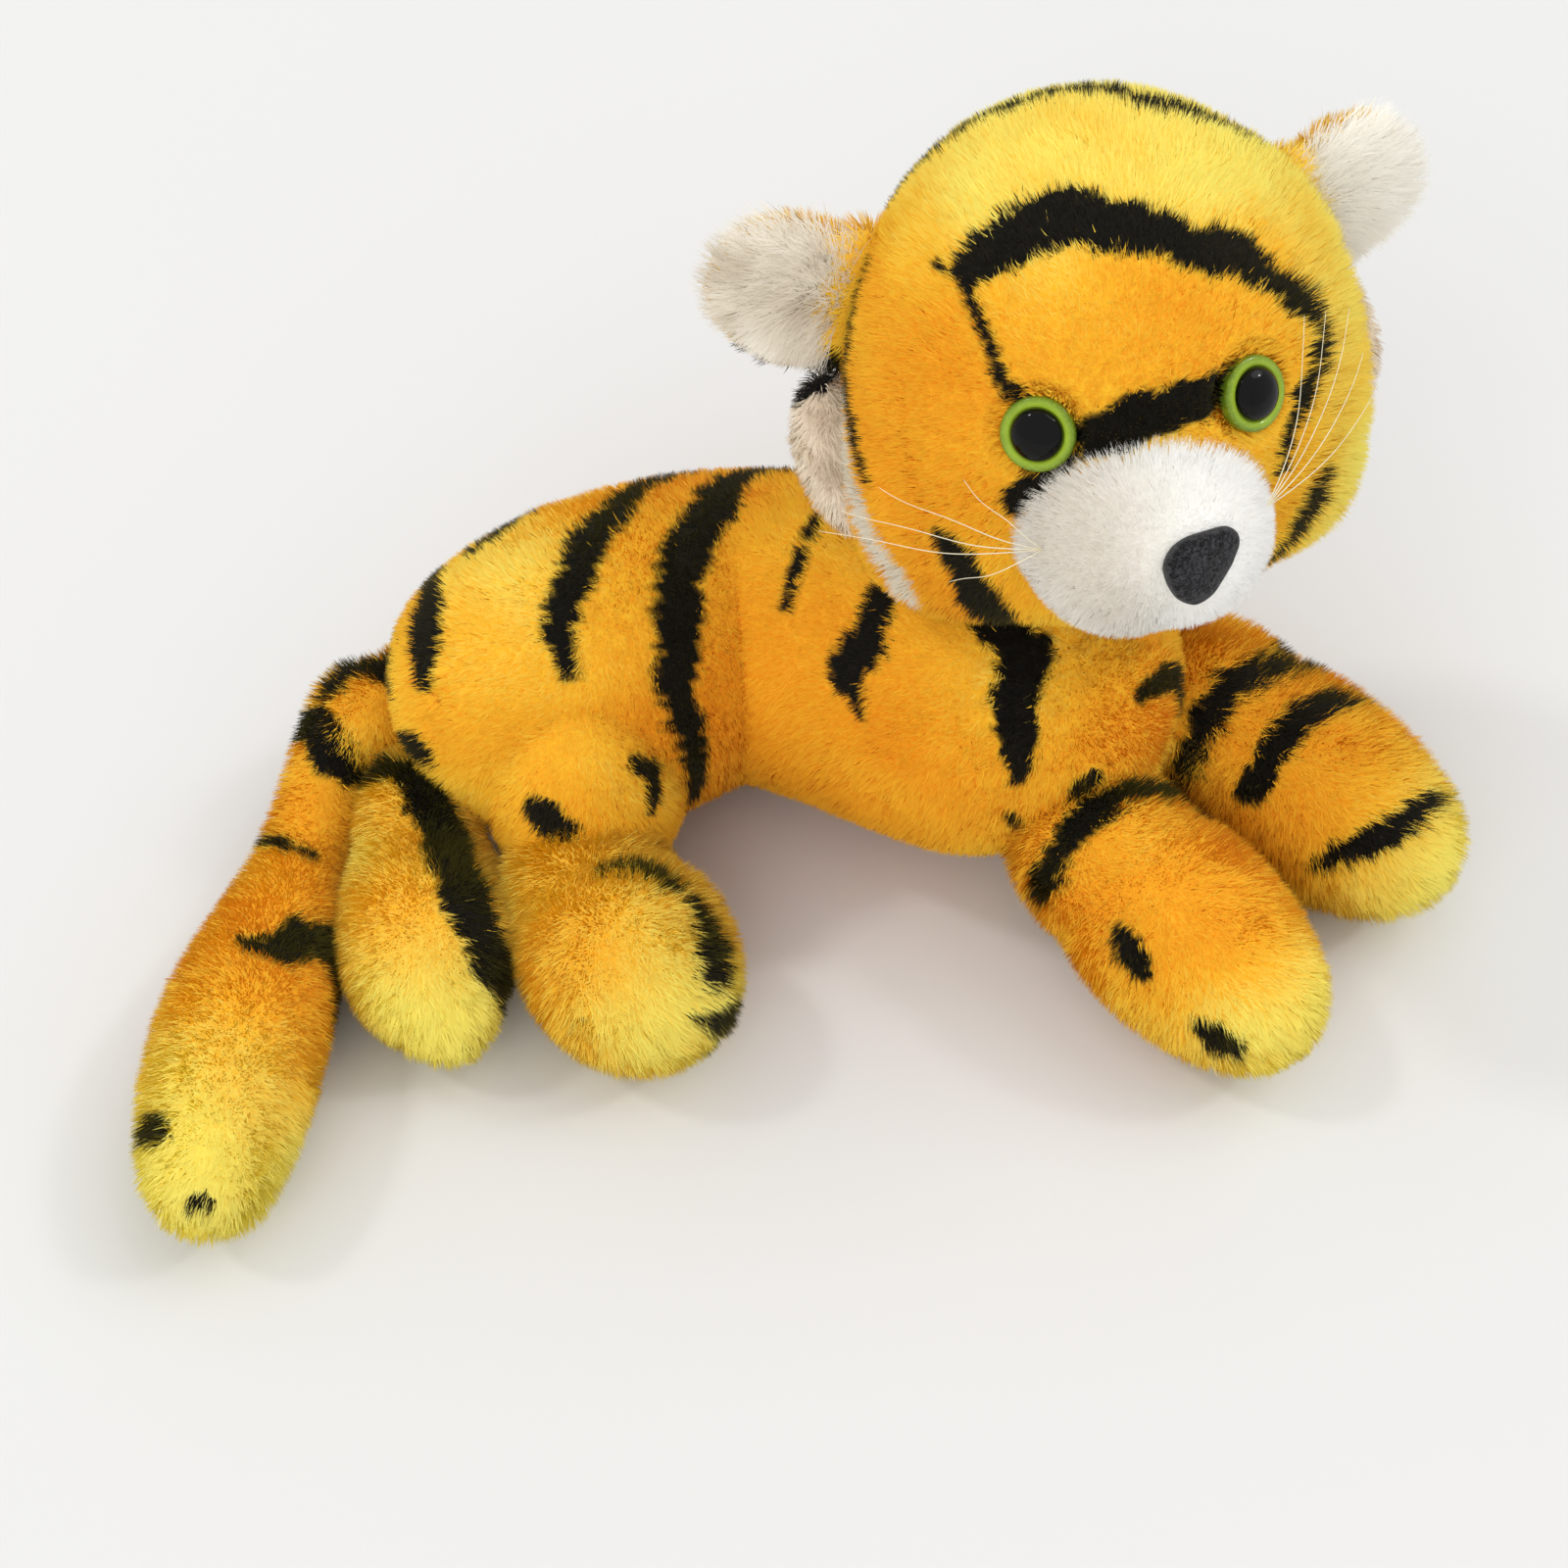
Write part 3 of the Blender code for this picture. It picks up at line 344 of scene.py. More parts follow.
# Black marks, mostly dye and in a few places painted shade: a share along its form, an angle round it and a
# half width at each point
MARKS = {
    "torso": [
        [(0.375, -28, 2), (0.37, 0, 3.4), (0.35, 25, 3.8), (0.295, 50, 4), (0.252, 66, 2.4)],
        [(0.17, -25, 2), (0.16, 10, 3.5), (0.17, 45, 3.5), (0.185, 76, 3.8), (0.199, 106, 5.0),
         (0.199, 127, 3.2)],
        [(0.52, -28, 2), (0.51, 5, 3.5), (0.485, 32, 3.8), (0.444, 54, 3.8), (0.407, 72, 4.1),
         (0.376, 80, 4.1), (0.351, 94, 4), (0.333, 112, 3.8), (0.333, 129, 2)],
        [(0.57, -24, 2.4), (0.56, 10, 3.8), (0.515, 46, 4), (0.494, 63, 4.4), (0.469, 85, 5.2),
         (0.420, 106, 5.4), (0.400, 121, 5.0), (0.384, 138, 4.5), (0.382, 153, 4), (0.388, 180, 3),
         (0.392, 200, 2)],
        [(0.556, 88, 1.5), (0.556, 97, 1.9)], [(0.556, 104, 1.9), (0.556, 124, 1.3)],
        [(0.612, 115, 3.2), (0.612, 129, 4.6), (0.605, 140, 4.2), (0.612, 147, 1.8), (0.618, 153, 1)],
        [(0.665, 110, 3), (0.693, 113, 4.6), (0.712, 119, 5.6), (0.709, 129, 4.6), (0.725, 139, 4.2),
         (0.742, 149, 3.6), (0.752, 158, 2)],
        [(0.93, 38, 3), (0.898, 50, 3.4), (0.878, 75, 3), (0.858, 99, 2.2)],
        [(0.11, 178, 2.4), (0.14, 174, 3.6), (0.175, 168, 4.4)],
        [(0.06, 80, 3), (0.06, 114, 3.4), (0.07, 140, 2.4)],
        [(0.760, 180, 1.6), (0.773, 184, 1.6)],
        [(0.785, 222, 3), (0.804, 210, 3.6), (0.830, 186, 3.4), (0.853, 157, 3)],
        [(0.66, -34, 2), (0.66, 0, 4), (0.68, 36, 3)], [(0.79, -30, 2), (0.80, 2, 3.6), (0.81, 28, 2.4)],
    ],
    "thigh_right": [
        [(0.723, 319, 1.8), (0.66, 326, 2.9), (0.587, 317, 1.8)],
        [(0.643, 250, 4), (0.587, 261, 4.6), (0.512, 262, 4)],
    ],
    "head": [
        [(0.754, 156, 2.0), (0.80, 152, 2.8), (0.847, 149.3, 3.2), (0.924, 136, 3.2), (0.952, 97.3, 3.3),
         (0.949, 50, 3.6), (0.945, 24, 2.4)],
        [(0.938, 4, 2.2), (0.921, 357, 3.4), (0.891, 353.5, 3.5), (0.842, 358.7, 3.1), (0.800, 3, 2.4),
         (0.776, 0, 1.8)],
        [(0.744, 222, 2.6), (0.766, 224, 4.6), (0.803, 236, 5.4), (0.820, 250.7, 5.6), (0.809, 265.3, 5.0),
         (0.787, 280, 4.6), (0.754, 292, 4.4), (0.726, 304, 4.6), (0.682, 312, 3.2)],
        [(0.737, 222.7, 1.7), (0.709, 226.7, 1.3), (0.676, 232, 1.3), (0.643, 234.7, 1.7),
         (0.610, 239.5, 2.4)],
        [(0.682, 312, 2.8), (0.645, 318, 3.4), (0.622, 321, 2.2)],
        [(0.605, 321, 2.6), (0.588, 320, 3.4), (0.560, 317, 2.2)],
        [(0.548, 314, 2.4), (0.530, 310, 3.0), (0.508, 306, 1.8)], [(0.490, 304, 2.0), (0.455, 302.7, 1.8)],
        [(0.560, 250, 3.4), (0.566, 253.3, 4.0), (0.572, 261.3, 4.5), (0.583, 269.3, 4.4),
         (0.590, 281.3, 4.4), (0.592, 291, 4.0)],
        [(0.532, 249, 2.8), (0.522, 246.7, 3.2), (0.506, 242.7, 3.2), (0.478, 237.3, 2.4)],
        [(0.705, 174, 1.5), (0.687, 174, 1.9), (0.643, 175, 2.4), (0.594, 176, 2.8), (0.550, 179, 3.0),
         (0.517, 184, 3.0), (0.483, 189, 2.6), (0.455, 193, 1.5)],
        [(0.412, 217, 2.4), (0.395, 218.7, 3.6), (0.351, 221.3, 4.6), (0.302, 221.3, 4.8), (0.250, 219, 4.6),
         (0.200, 216, 4)],
        [(0.754, 209.3, 1), (0.748, 213.3, 1)],
        [(0.66, 5, 1.2), (0.58, 358, 1.8), (0.48, 350, 1.8), (0.38, 340, 1.5)],
        [(0.407, 320, 2.6), (0.345, 318, 4), (0.28, 314, 3.4)],
        [(0.74, 138, 2), (0.79, 114, 3.4), (0.80, 90, 3.8), (0.79, 66, 3.4), (0.74, 42, 2)],
        [(0.57, 132, 2), (0.62, 110, 3.4), (0.635, 90, 3.6), (0.62, 70, 3.4), (0.57, 48, 2)],
    ],
    "front_leg_right": [
        [(0.165, 202, 3), (0.09, 160, 3.6), (0.06, 120, 3.6), (0.085, 60, 3.4), (0.2, 36, 3.2),
         (0.33, 32, 2.4)],
        [(0.444, 147, 2.6), (0.49, 151, 3.6), (0.531, 154, 2.8)],
        [(0.711, 162, 2.8), (0.76, 167, 3.6), (0.80, 172, 2.6)],
    ],
    "front_leg_right_root": [
        [(0.53, 101, 2.4), (0.456, 102.7, 3.2), (0.34, 106.7, 3.6), (0.224, 117.3, 3.9), (0.12, 150.7, 3.8),
         (0.131, 233.3, 3.4), (0.25, 262, 3.2), (0.36, 270, 2.8)],
    ],
    "front_leg_left_root": [
        [(0.33, 276, 2.8), (0.202, 285.3, 3.6), (0.07, 300, 3.8), (0.021, 41.3, 4), (0.114, 93.3, 4.2),
         (0.241, 88, 4), (0.368, 84, 3.6), (0.50, 81.3, 3)],
    ],
    "hind_leg_left_root": [
        [(0.16, 175, 4.2), (0.125, 199, 4.8), (0.098, 264, 5.2), (0.17, 300, 5.4), (0.28, 308, 5.4)],
        [(0.42, 132, 2.8), (0.384, 134.7, 3.4), (0.28, 142, 3.4), (0.19, 150, 3.2)],
    ],
    # Thin lines round the right hind leg's root: painted shade in the crease where the foot meets the haunch.
    "hind_leg_right_root": [
        [(0.054, 237.3, 0.3), (0.037, 102.7, 0.5), (0.109, 88.0, 0.4), (0.17, 84, 0.3)],
    ],
    "tail_root": [
        [(0.32, 112, 3), (0.258, 140, 3.8), (0.20, 175, 3.4)],
    ],
    "ear_right_back": [
        [(0.90, 160, 3.2), (1.0, 172, 4.6), (0.97, 186, 4.8), (0.90, 198, 3.2)],
    ],
    # The black at the right ear's root and on the ruff's top under it is partly the fur's stripe and partly
    # painted shade in the crease between ear, ruff and head.
    "ear_right_root": [
        [(0.0, 0, 7.5), (0.05, 0, 7.5)], [(0.12, 200, 4), (0.2, 200, 4)],
    ],
    "cheek_ruff_right": [
        [(0.19, 204, 2.6), (0.12, 195, 3.4), (0.05, 190, 3.4)],
    ],
    "front_leg_left": [
        [(0.376, 36, 3), (0.34, 56, 3.4), (0.30, 75, 3)],
        [(0.543, 30, 2), (0.469, 73, 3.2), (0.426, 106, 3.8), (0.438, 135, 3.6), (0.445, 153, 2.4)],
        [(0.798, 26, 2), (0.773, 80, 3), (0.74, 120, 3.4), (0.692, 149, 3.4), (0.649, 168, 2.2)],
    ],
    "hind_leg_left": [
        [(0.2, 60, 5), (0.346, 64, 5.6), (0.489, 59, 6.0), (0.555, 54.7, 6.2), (0.654, 40, 6.0),
         (0.726, 2, 5.4), (0.77, -20, 3.6)],
    ],
    "hind_leg_right": [
        [(0.60, 54, 2.2), (0.65, 50, 3.8), (0.737, 50, 4.8), (0.80, 54, 4.2), (0.84, 62, 2.2)],
        [(0.913, 95, 1.6), (0.945, 40, 3.2), (0.915, 0, 4.2), (0.87, -22, 3.8), (0.86, -40, 2.2)],
        # The next thin line is painted shade in the same crease.
        [(0.33, 118, 0.3), (0.34, 124, 0.45), (0.351, 138.7, 0.4), (0.368, 146.7, 0.2)],
        [(0.90, -45, 2.2), (0.88, -70, 1.8)],
        [(0.345, 92, 1.6), (0.368, 85.3, 2.2), (0.390, 69.3, 2.8), (0.494, 58.7, 3.0), (0.52, 54, 2)],
        [(0.621, 172, 0.9), (0.649, 162.7, 0.9)],
    ],
    "tail": [
        [(0.33, 120, 2.4), (0.296, 110, 3.8), (0.246, 118, 4.0), (0.16, 128, 3.4)],
        [(0.372, 185, 3), (0.370, 140, 4.6), (0.372, 108, 5.0), (0.390, 76, 5.2), (0.398, 50, 5.0),
         (0.400, 10, 4.6), (0.39, -50, 3)],
        [(0.494, 160, 1.8), (0.503, 120, 2.0), (0.509, 90, 1.7), (0.512, 62, 1.2)],
        [(0.627, 96, 1.6), (0.627, 80, 2.6), (0.622, 62, 4.4), (0.603, 44, 5.4), (0.594, 22, 6.2),
         (0.600, -6, 6.4), (0.630, -30, 5)],
        [(0.810, 158, 3.0), (0.816, 136, 2.8), (0.822, 126, 1.6)], [(0.952, 82, 2.2), (0.962, 62, 2.0)],
    ],
}

# Pale patches, marked in the same way
PALE = {"head": [[(0.52, 176, 3), (0.45, 180, 4.4), (0.41, 187, 4.4), (0.376, 193, 4.2),
                  (0.345, 197, 4), (0.300, 198, 3.4)]]}


RIPPLE_WAVES = 12


def ripple(points, scale, seed):
    """Smooth random values of about -1 to 1, from waves in random directions."""
    waves = np.random.default_rng(seed)
    total = np.zeros(len(points))
    for _ in range(RIPPLE_WAVES):
        way = unit(waves.normal(size=3)) * 2 * pi / scale * waves.uniform(0.6, 2.2)
        total += np.sin(points @ way + waves.uniform(0, 2 * pi))
    return total / RIPPLE_WAVES ** 0.5


def marked(name, points, jitter=0.0, marks=MARKS):
    """How far the marks of a form cover its points, from 0 to 1; the black marks are mostly dye and in a few
    places painted shade.
    """
    form = FORMS[name]
    dye_and_shade = np.zeros(len(points))
    if name not in marks:
        return dye_and_shade
    edge = jitter + ripple(points, 9.0, 5) * 0.7 + ripple(points, 3.0, 6) * 0.45
    for mark in marks[name]:
        mark = np.array(mark, float)
        fine = np.linspace(0, 1, len(mark) * 9)
        spots = along(form(mark[:, 0], np.radians(mark[:, 1])), fine)
        half = along(mark[:, 2:], fine)[:, 0]
        low, high = spots.min(0) - 9, spots.max(0) + 9
        near = np.flatnonzero(((points > low) & (points < high)).all(1))
        if not len(near):
            continue
        away = np.linalg.norm(points[near, None] - spots[None], axis=2)
        closest = (away - half[None]).argmin(1)
        wide = half[closest]
        past = away[np.arange(len(near)), closest] - wide
        past += edge[near] * np.minimum(1, wide / 3.5)
        dye_and_shade[near] = np.maximum(dye_and_shade[near], 1 - smooth(past, -0.35, 0.35))
    return dye_and_shade


# Pile: how thick it stands, how long and how far it leans, and its finish
Pelt = namedtuple("Pelt", "slot density length lean width tuft bed colours")
ORANGE = ((0.90, 0.34, 0.012), (1.0, 0.59, 0.034), (1.0, 0.875, 0.17))
YELLOW = ((1.0, 0.54, 0.030), (1.0, 0.72, 0.06), (1.0, 0.875, 0.19))
WHITE = ((0.76, 0.69, 0.59), (0.90, 0.87, 0.80), (1.0, 0.99, 0.96))
BEIGE = ((0.72, 0.63, 0.49), (0.90, 0.83, 0.70), (1.0, 0.97, 0.88))
GREIGE = ((0.62, 0.49, 0.34), (0.90, 0.77, 0.60), (1.0, 0.94, 0.82))
PELTS = {
    "orange": Pelt("orange_plush", 5.0, 5.0, 16, 0.34, 0.12, 3.0, ORANGE),
    "yellow": Pelt("yellow_plush", 5.0, 5.4, 30, 0.34, 0.2, 2.4, YELLOW),
    "white": Pelt("white_plush", 7.0, 4.0, 14, 0.30, 0.10, 2.4, WHITE),
    "beige": Pelt("beige_plush", 6.0, 6.0, 30, 0.30, 0.35, 2.2, BEIGE),
    "ruff": Pelt("beige_plush", 6.0, 4.4, 34, 0.32, 0.4, 1.6, GREIGE),
}
HIDE_SINK = 0.5


class Value:
    """A number in a shader; sums and products of it add Math nodes."""

    def __init__(self, finish, socket):
        self.finish, self.socket = finish, socket

    def math(self, operation, one, other, clamp=False):
        return self.finish.node("Math", {"operation": operation, "use_clamp": clamp}, {0: one, 1: other})

    def __add__(self, other):
        return self.math("ADD", self, other)

    def __sub__(self, other):
        return self.math("SUBTRACT", self, other)

    def __rsub__(self, other):
        return self.math("SUBTRACT", other, self)

    def __mul__(self, other):
        return self.math("MULTIPLY", self, other)

    __radd__ = __add__

    def clamped(self):
        return self.math("ADD", self, 0.0, clamp=True)


class Finish:
    """A material built node by node on one Principled shader."""

    def __init__(self, name, **constants):
        self.material = bpy.data.materials.new(name)
        self.material.use_nodes = True
        self.tree = self.material.node_tree
        self.shader = self.tree.nodes["Principled BSDF"]
        for socket, value in constants.items():
            self.shader.inputs[socket.replace("_", " ")].default_value = value

    def node(self, kind, settings=None, sockets=None, output=0):
        node = self.tree.nodes.new("ShaderNode" + kind)
        for name, value in (settings or {}).items():
            setattr(node, name, value)
        for key, value in (sockets or {}).items():
            self.feed(node.inputs[key], value)
        return Value(self, node.outputs[output])

    def feed(self, socket, value):
        if isinstance(value, Value):
            self.tree.links.new(value.socket, socket)
        else:
            socket.default_value = (*value, 1) if hasattr(value, "__len__") and len(value) == 3 \
                and socket.type == "RGBA" else value

    def blend(self, share, one, other):
        """A colour between two colours."""
        return self.node("Mix", {"data_type": "RGBA"}, {0: share, 6: one, 7: other}, output=2)

    def noise(self, scale, detail=3.0, rough=0.5, warp=0.0):
        place = self.node("TexCoord", output=3)
        return self.node("TexNoise", {}, {"Vector": place, "Scale": scale, "Detail": detail,
                                          "Roughness": rough, "Distortion": warp})

    def drive(self, **inputs):
        for socket, value in inputs.items():
            self.feed(self.shader.inputs[socket.replace("_", " ")], value)
        return self.material


INK = ((0.002, 0.002, 0.002), (0.008, 0.0068, 0.006), (0.055, 0.043, 0.016))


def pile_finish(name, colours, cloth=False):
    """Plush: deep at the roots and light at the tips, black or pale where the marks are; a few black marks
    are painted shade, and the warmth carries painted light and shade along with the plush's tone.
    """
    finish = Finish(name, Sheen_Weight=0.12, Sheen_Roughness=0.5, Specular_IOR_Level=0.15)
    finish.shader.inputs["Sheen Tint"].default_value = (*colours[2], 1)
    tint = finish.node("Attribute", {"attribute_name": "pile"})
    pale = Value(finish, tint.socket.node.outputs["Alpha"])
    parts = finish.node("SeparateColor", {}, {0: tint})
    dye_and_shade, height, warm = (Value(finish, parts.socket.node.outputs[k]) for k in range(3))
    patch = finish.noise(34.0, 4.0, 0.6)
    fibre = finish.noise(850.0, 3.0, 0.7)
    # On the backing cloth the strong fine grain is partly painted shade among the dense fibres; on the
    # strands it is the fibres' own tone.
    fibre_grain_and_shade = (fibre - 0.5) * (0.9 if cloth else 0.3)
    # warm lightens the tone; it carries the plush's own tone together with painted light and shade.
    tone = (height * 0.30 + warm * 0.85 + patch * 0.24 - 0.27 + fibre_grain_and_shade).clamped()

    def ramp(three):
        low = finish.blend((tone * 2.0).clamped(), three[0], three[1])
        return finish.blend(((tone - 0.5) * 2.0).clamped(), low, three[2])

    fur = finish.blend(pale, ramp(colours), ramp(BEIGE))
    black = finish.blend((height * 1.3 - 0.25).clamped(), INK[0], INK[1])
    black = finish.blend(((height - 0.72) * 1.5 * patch).clamped(), black, INK[2])
    rough = 0.86 - height * 0.16 - dye_and_shade * 0.10 + fibre * 0.1
    colour = finish.blend(dye_and_shade, fur, black)
    if cloth:
        bump = finish.node("Bump", {}, {"Strength": 0.8, "Distance": 0.0010, "Height": fibre})
        return finish.drive(Base_Color=colour, Roughness=rough, Normal=bump)
    return finish.drive(Base_Color=colour, Roughness=rough)


pile_looks = {key: pile_finish("%s_pile" % key, pelt.colours) for key, pelt in PELTS.items()}
hide_looks = {key: pile_finish("%s_underfur" % key, pelt.colours, True) for key, pelt in PELTS.items()}


def add_thing(name, data):
    thing = bpy.data.objects.new(name, data)
    bpy.context.scene.collection.objects.link(thing)
    return thing


def add_attribute(mesh, name, kind, field, values):
    layer = mesh.attributes.new(name, kind, "POINT")
    layer.data.foreach_set(field, np.asarray(values, np.float32).ravel())


def make_piece(name, vertices, faces, look, body):
    mesh = bpy.data.meshes.new(name)
    mesh.from_pydata([tuple(v) for v in np.asarray(vertices) * MM], [], faces)
    mesh.polygons.foreach_set("use_smooth", np.ones(len(mesh.polygons), bool))
    mesh.materials.append(look)
    thing = add_thing(name, mesh)
    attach(thing, body)
    return thing


def grid_faces(rows, columns, first=0):
    """Quads between the rings of an open tube."""
    faces = []
    for r in range(rows - 1):
        for c in range(columns):
            a, b = r * columns + c, r * columns + (c + 1) % columns
            faces.append((first + a, first + b, first + b + columns, first + a + columns))
    return faces


def closed_skin(form, inset, rows, columns, last=1.0):
    """Vertices and faces of a form pulled in by an inset."""
    shares = np.linspace(0, last, rows + 1)[1:-1]
    angles = np.arange(columns) * 2 * pi / columns
    t, a = (grid.ravel() for grid in np.meshgrid(shares, angles, indexing="ij"))
    body = form(t, a, inset)
    ends = form(np.array((0.0, last)), np.zeros(2), inset)
    points = np.vstack([body, ends])
    faces = grid_faces(rows - 1, columns)
    low, high, count = len(body), len(body) + 1, (rows - 2) * columns
    for c in range(columns):
        d = (c + 1) % columns
        faces.append((low, d, c))
        faces.append((high, count + c, count + d))
    centre = points.mean(0)
    first = np.array([points[k] for k in faces[len(faces) // 3]])
    outward = np.cross(first[1] - first[0], first[2] - first[0]) @ (first.mean(0) - centre)
    if outward < 0:
        faces = [face[::-1] for face in faces]
    return points, faces


# What the pile attribute holds: dye (with a few painted-shade marks), height above the cloth, warmth (the
# plush's tone with painted light and shade) and pale dye
HIDE_HEIGHT = 0.45
PLAIN_WARMTH, WARMEST = 0.35, 1.2


def hide(name, key, body, nodes, rows, columns, warmth=None, last=1.0, inset=HIDE_SINK, dent=None):
    """The backing cloth of one stuffed form, which stands for its CAD solids."""
    points, faces = closed_skin(FORMS[name], inset, rows, columns, last)
    if dent is not None:
        points = dent(points)
    thing = make_piece(name + "_hide", points, faces, hide_looks[key], body)
    warm = np.full(len(points), PLAIN_WARMTH) if warmth is None else np.clip(warmth(points), 0, WARMEST)
    values = [marked(name, points), np.full(len(points), HIDE_HEIGHT), warm, marked(name, points, marks=PALE)]
    add_attribute(thing.data, "pile", "FLOAT_COLOR", "color", np.stack(values, 1))
    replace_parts(thing, *nodes)


SCATTER_CELLS = (90, 128)


def scatter(form, density):
    """Random shares and angles spread evenly over a form's surface."""
    t, a = ((np.arange(cells) + 0.5) / cells for cells in SCATTER_CELLS)
    a = a * 2 * pi
    step_t, step_a = 1 / SCATTER_CELLS[0], 2 * pi / SCATTER_CELLS[1]
    tt, aa = (grid.ravel() for grid in np.meshgrid(t, a, indexing="ij"))
    one = form(np.minimum(tt + step_t / 2, 1), aa) - form(np.maximum(tt - step_t / 2, 0), aa)
    two = form(tt, aa + step_a / 2) - form(tt, aa - step_a / 2)
    area = np.linalg.norm(np.cross(one, two), axis=1)
    count = int(area.sum() * density)
    picks = np.searchsorted(np.cumsum(area) / area.sum(), rng.random(count))
    picks = np.minimum(picks, len(tt) - 1)
    return (np.clip(tt[picks] + (rng.random(count) - 0.5) * step_t, 0, 1),
            aa[picks] + (rng.random(count) - 0.5) * step_a)


def facing(form, t, a):
    """Surface points, outward normals and directions of growing share."""
    step = 0.004
    point = form(t, a)
    ahead = unit(form(t + step, a) - form(t - step, a))
    normal = unit(np.cross(ahead, form(t, a + step) - form(t, a - step)))
    out = form(t, a, -1.0) - point
    normal *= np.sign((normal * out).sum(1))[:, None]
    return point, normal, ahead


def flat_on(normal, vectors):
    return unit(vectors - normal * (vectors * normal).sum(1)[:, None])


# Each strand is a quad and a triangle: the corners they join, their heights, and their places on
# the strand's own square of the bake sheet
STRAND_LOOPS = np.array((0, 1, 3, 2, 2, 3, 4))
STRAND_HEIGHTS = (0.0, 0.0, 0.5, 0.5, 1.0)
SQUARE_X = np.array((0.15, 0.85, 0.75, 0.25, 0.25, 0.75, 0.5))
SQUARE_Y = np.array((0.1, 0.1, 0.5, 0.5, 0.5, 0.5, 0.9))
FLOOR_GAP = 0.25


def strands(name, root, mid, tip, wide, soft, marks_tones_and_light, look, body):
    """One mesh of flat tapering strands."""
    count = len(root)
    verts = np.stack([root - wide, root + wide, mid - wide * 0.75, mid + wide * 0.75, tip], 1).reshape(-1, 3)
    verts[:, 2] = np.maximum(verts[:, 2], FLOOR_GAP)
    mesh = bpy.data.meshes.new(name)
    mesh.vertices.add(count * 5)
    mesh.vertices.foreach_set("co", (verts * MM).astype(np.float32).ravel())
    mesh.loops.add(count * 7)
    loops = (np.arange(count)[:, None] * 5 + STRAND_LOOPS[None]).ravel()
    mesh.loops.foreach_set("vertex_index", loops.astype(np.int32))
    mesh.polygons.add(count * 2)
    starts = (np.arange(count)[:, None] * 7 + np.array((0, 4))[None]).ravel()
    mesh.polygons.foreach_set("loop_start", starts.astype(np.int32))
    mesh.polygons.foreach_set("use_smooth", np.ones(count * 2, bool))
    mesh.update(calc_edges=True)
    mesh.materials.append(look)
    side = 170 if count > 30000 else 85
    cell = np.minimum(np.arange(count) * (side * side) // count, side * side - 1)
    sheet = np.stack([(cell % side)[:, None] + SQUARE_X, (cell // side)[:, None] + SQUARE_Y], 2) / side
    layer = mesh.uv_layers.new(name="OFBake")
    layer.uv.foreach_set("vector", sheet.astype(np.float32).ravel())
    colour = np.empty((count, 5, 4), np.float32)
    colour[:, :, (0, 2, 3)] = marks_tones_and_light[:, None]
    colour[:, :, 1] = STRAND_HEIGHTS
    add_attribute(mesh, "pile", "FLOAT_COLOR", "color", colour)
    add_attribute(mesh, "custom_normal", "FLOAT_VECTOR", "vector", np.repeat(soft, 5, 0))
    thing = add_thing(name, mesh)
    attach(thing, body)
    # Fibres let light through to each other
    thing.visible_shadow = False


MOST_STRANDS = 64000
TUFT_STRANDS = 34
BURIED = 3.2
UNDYED = 0.003


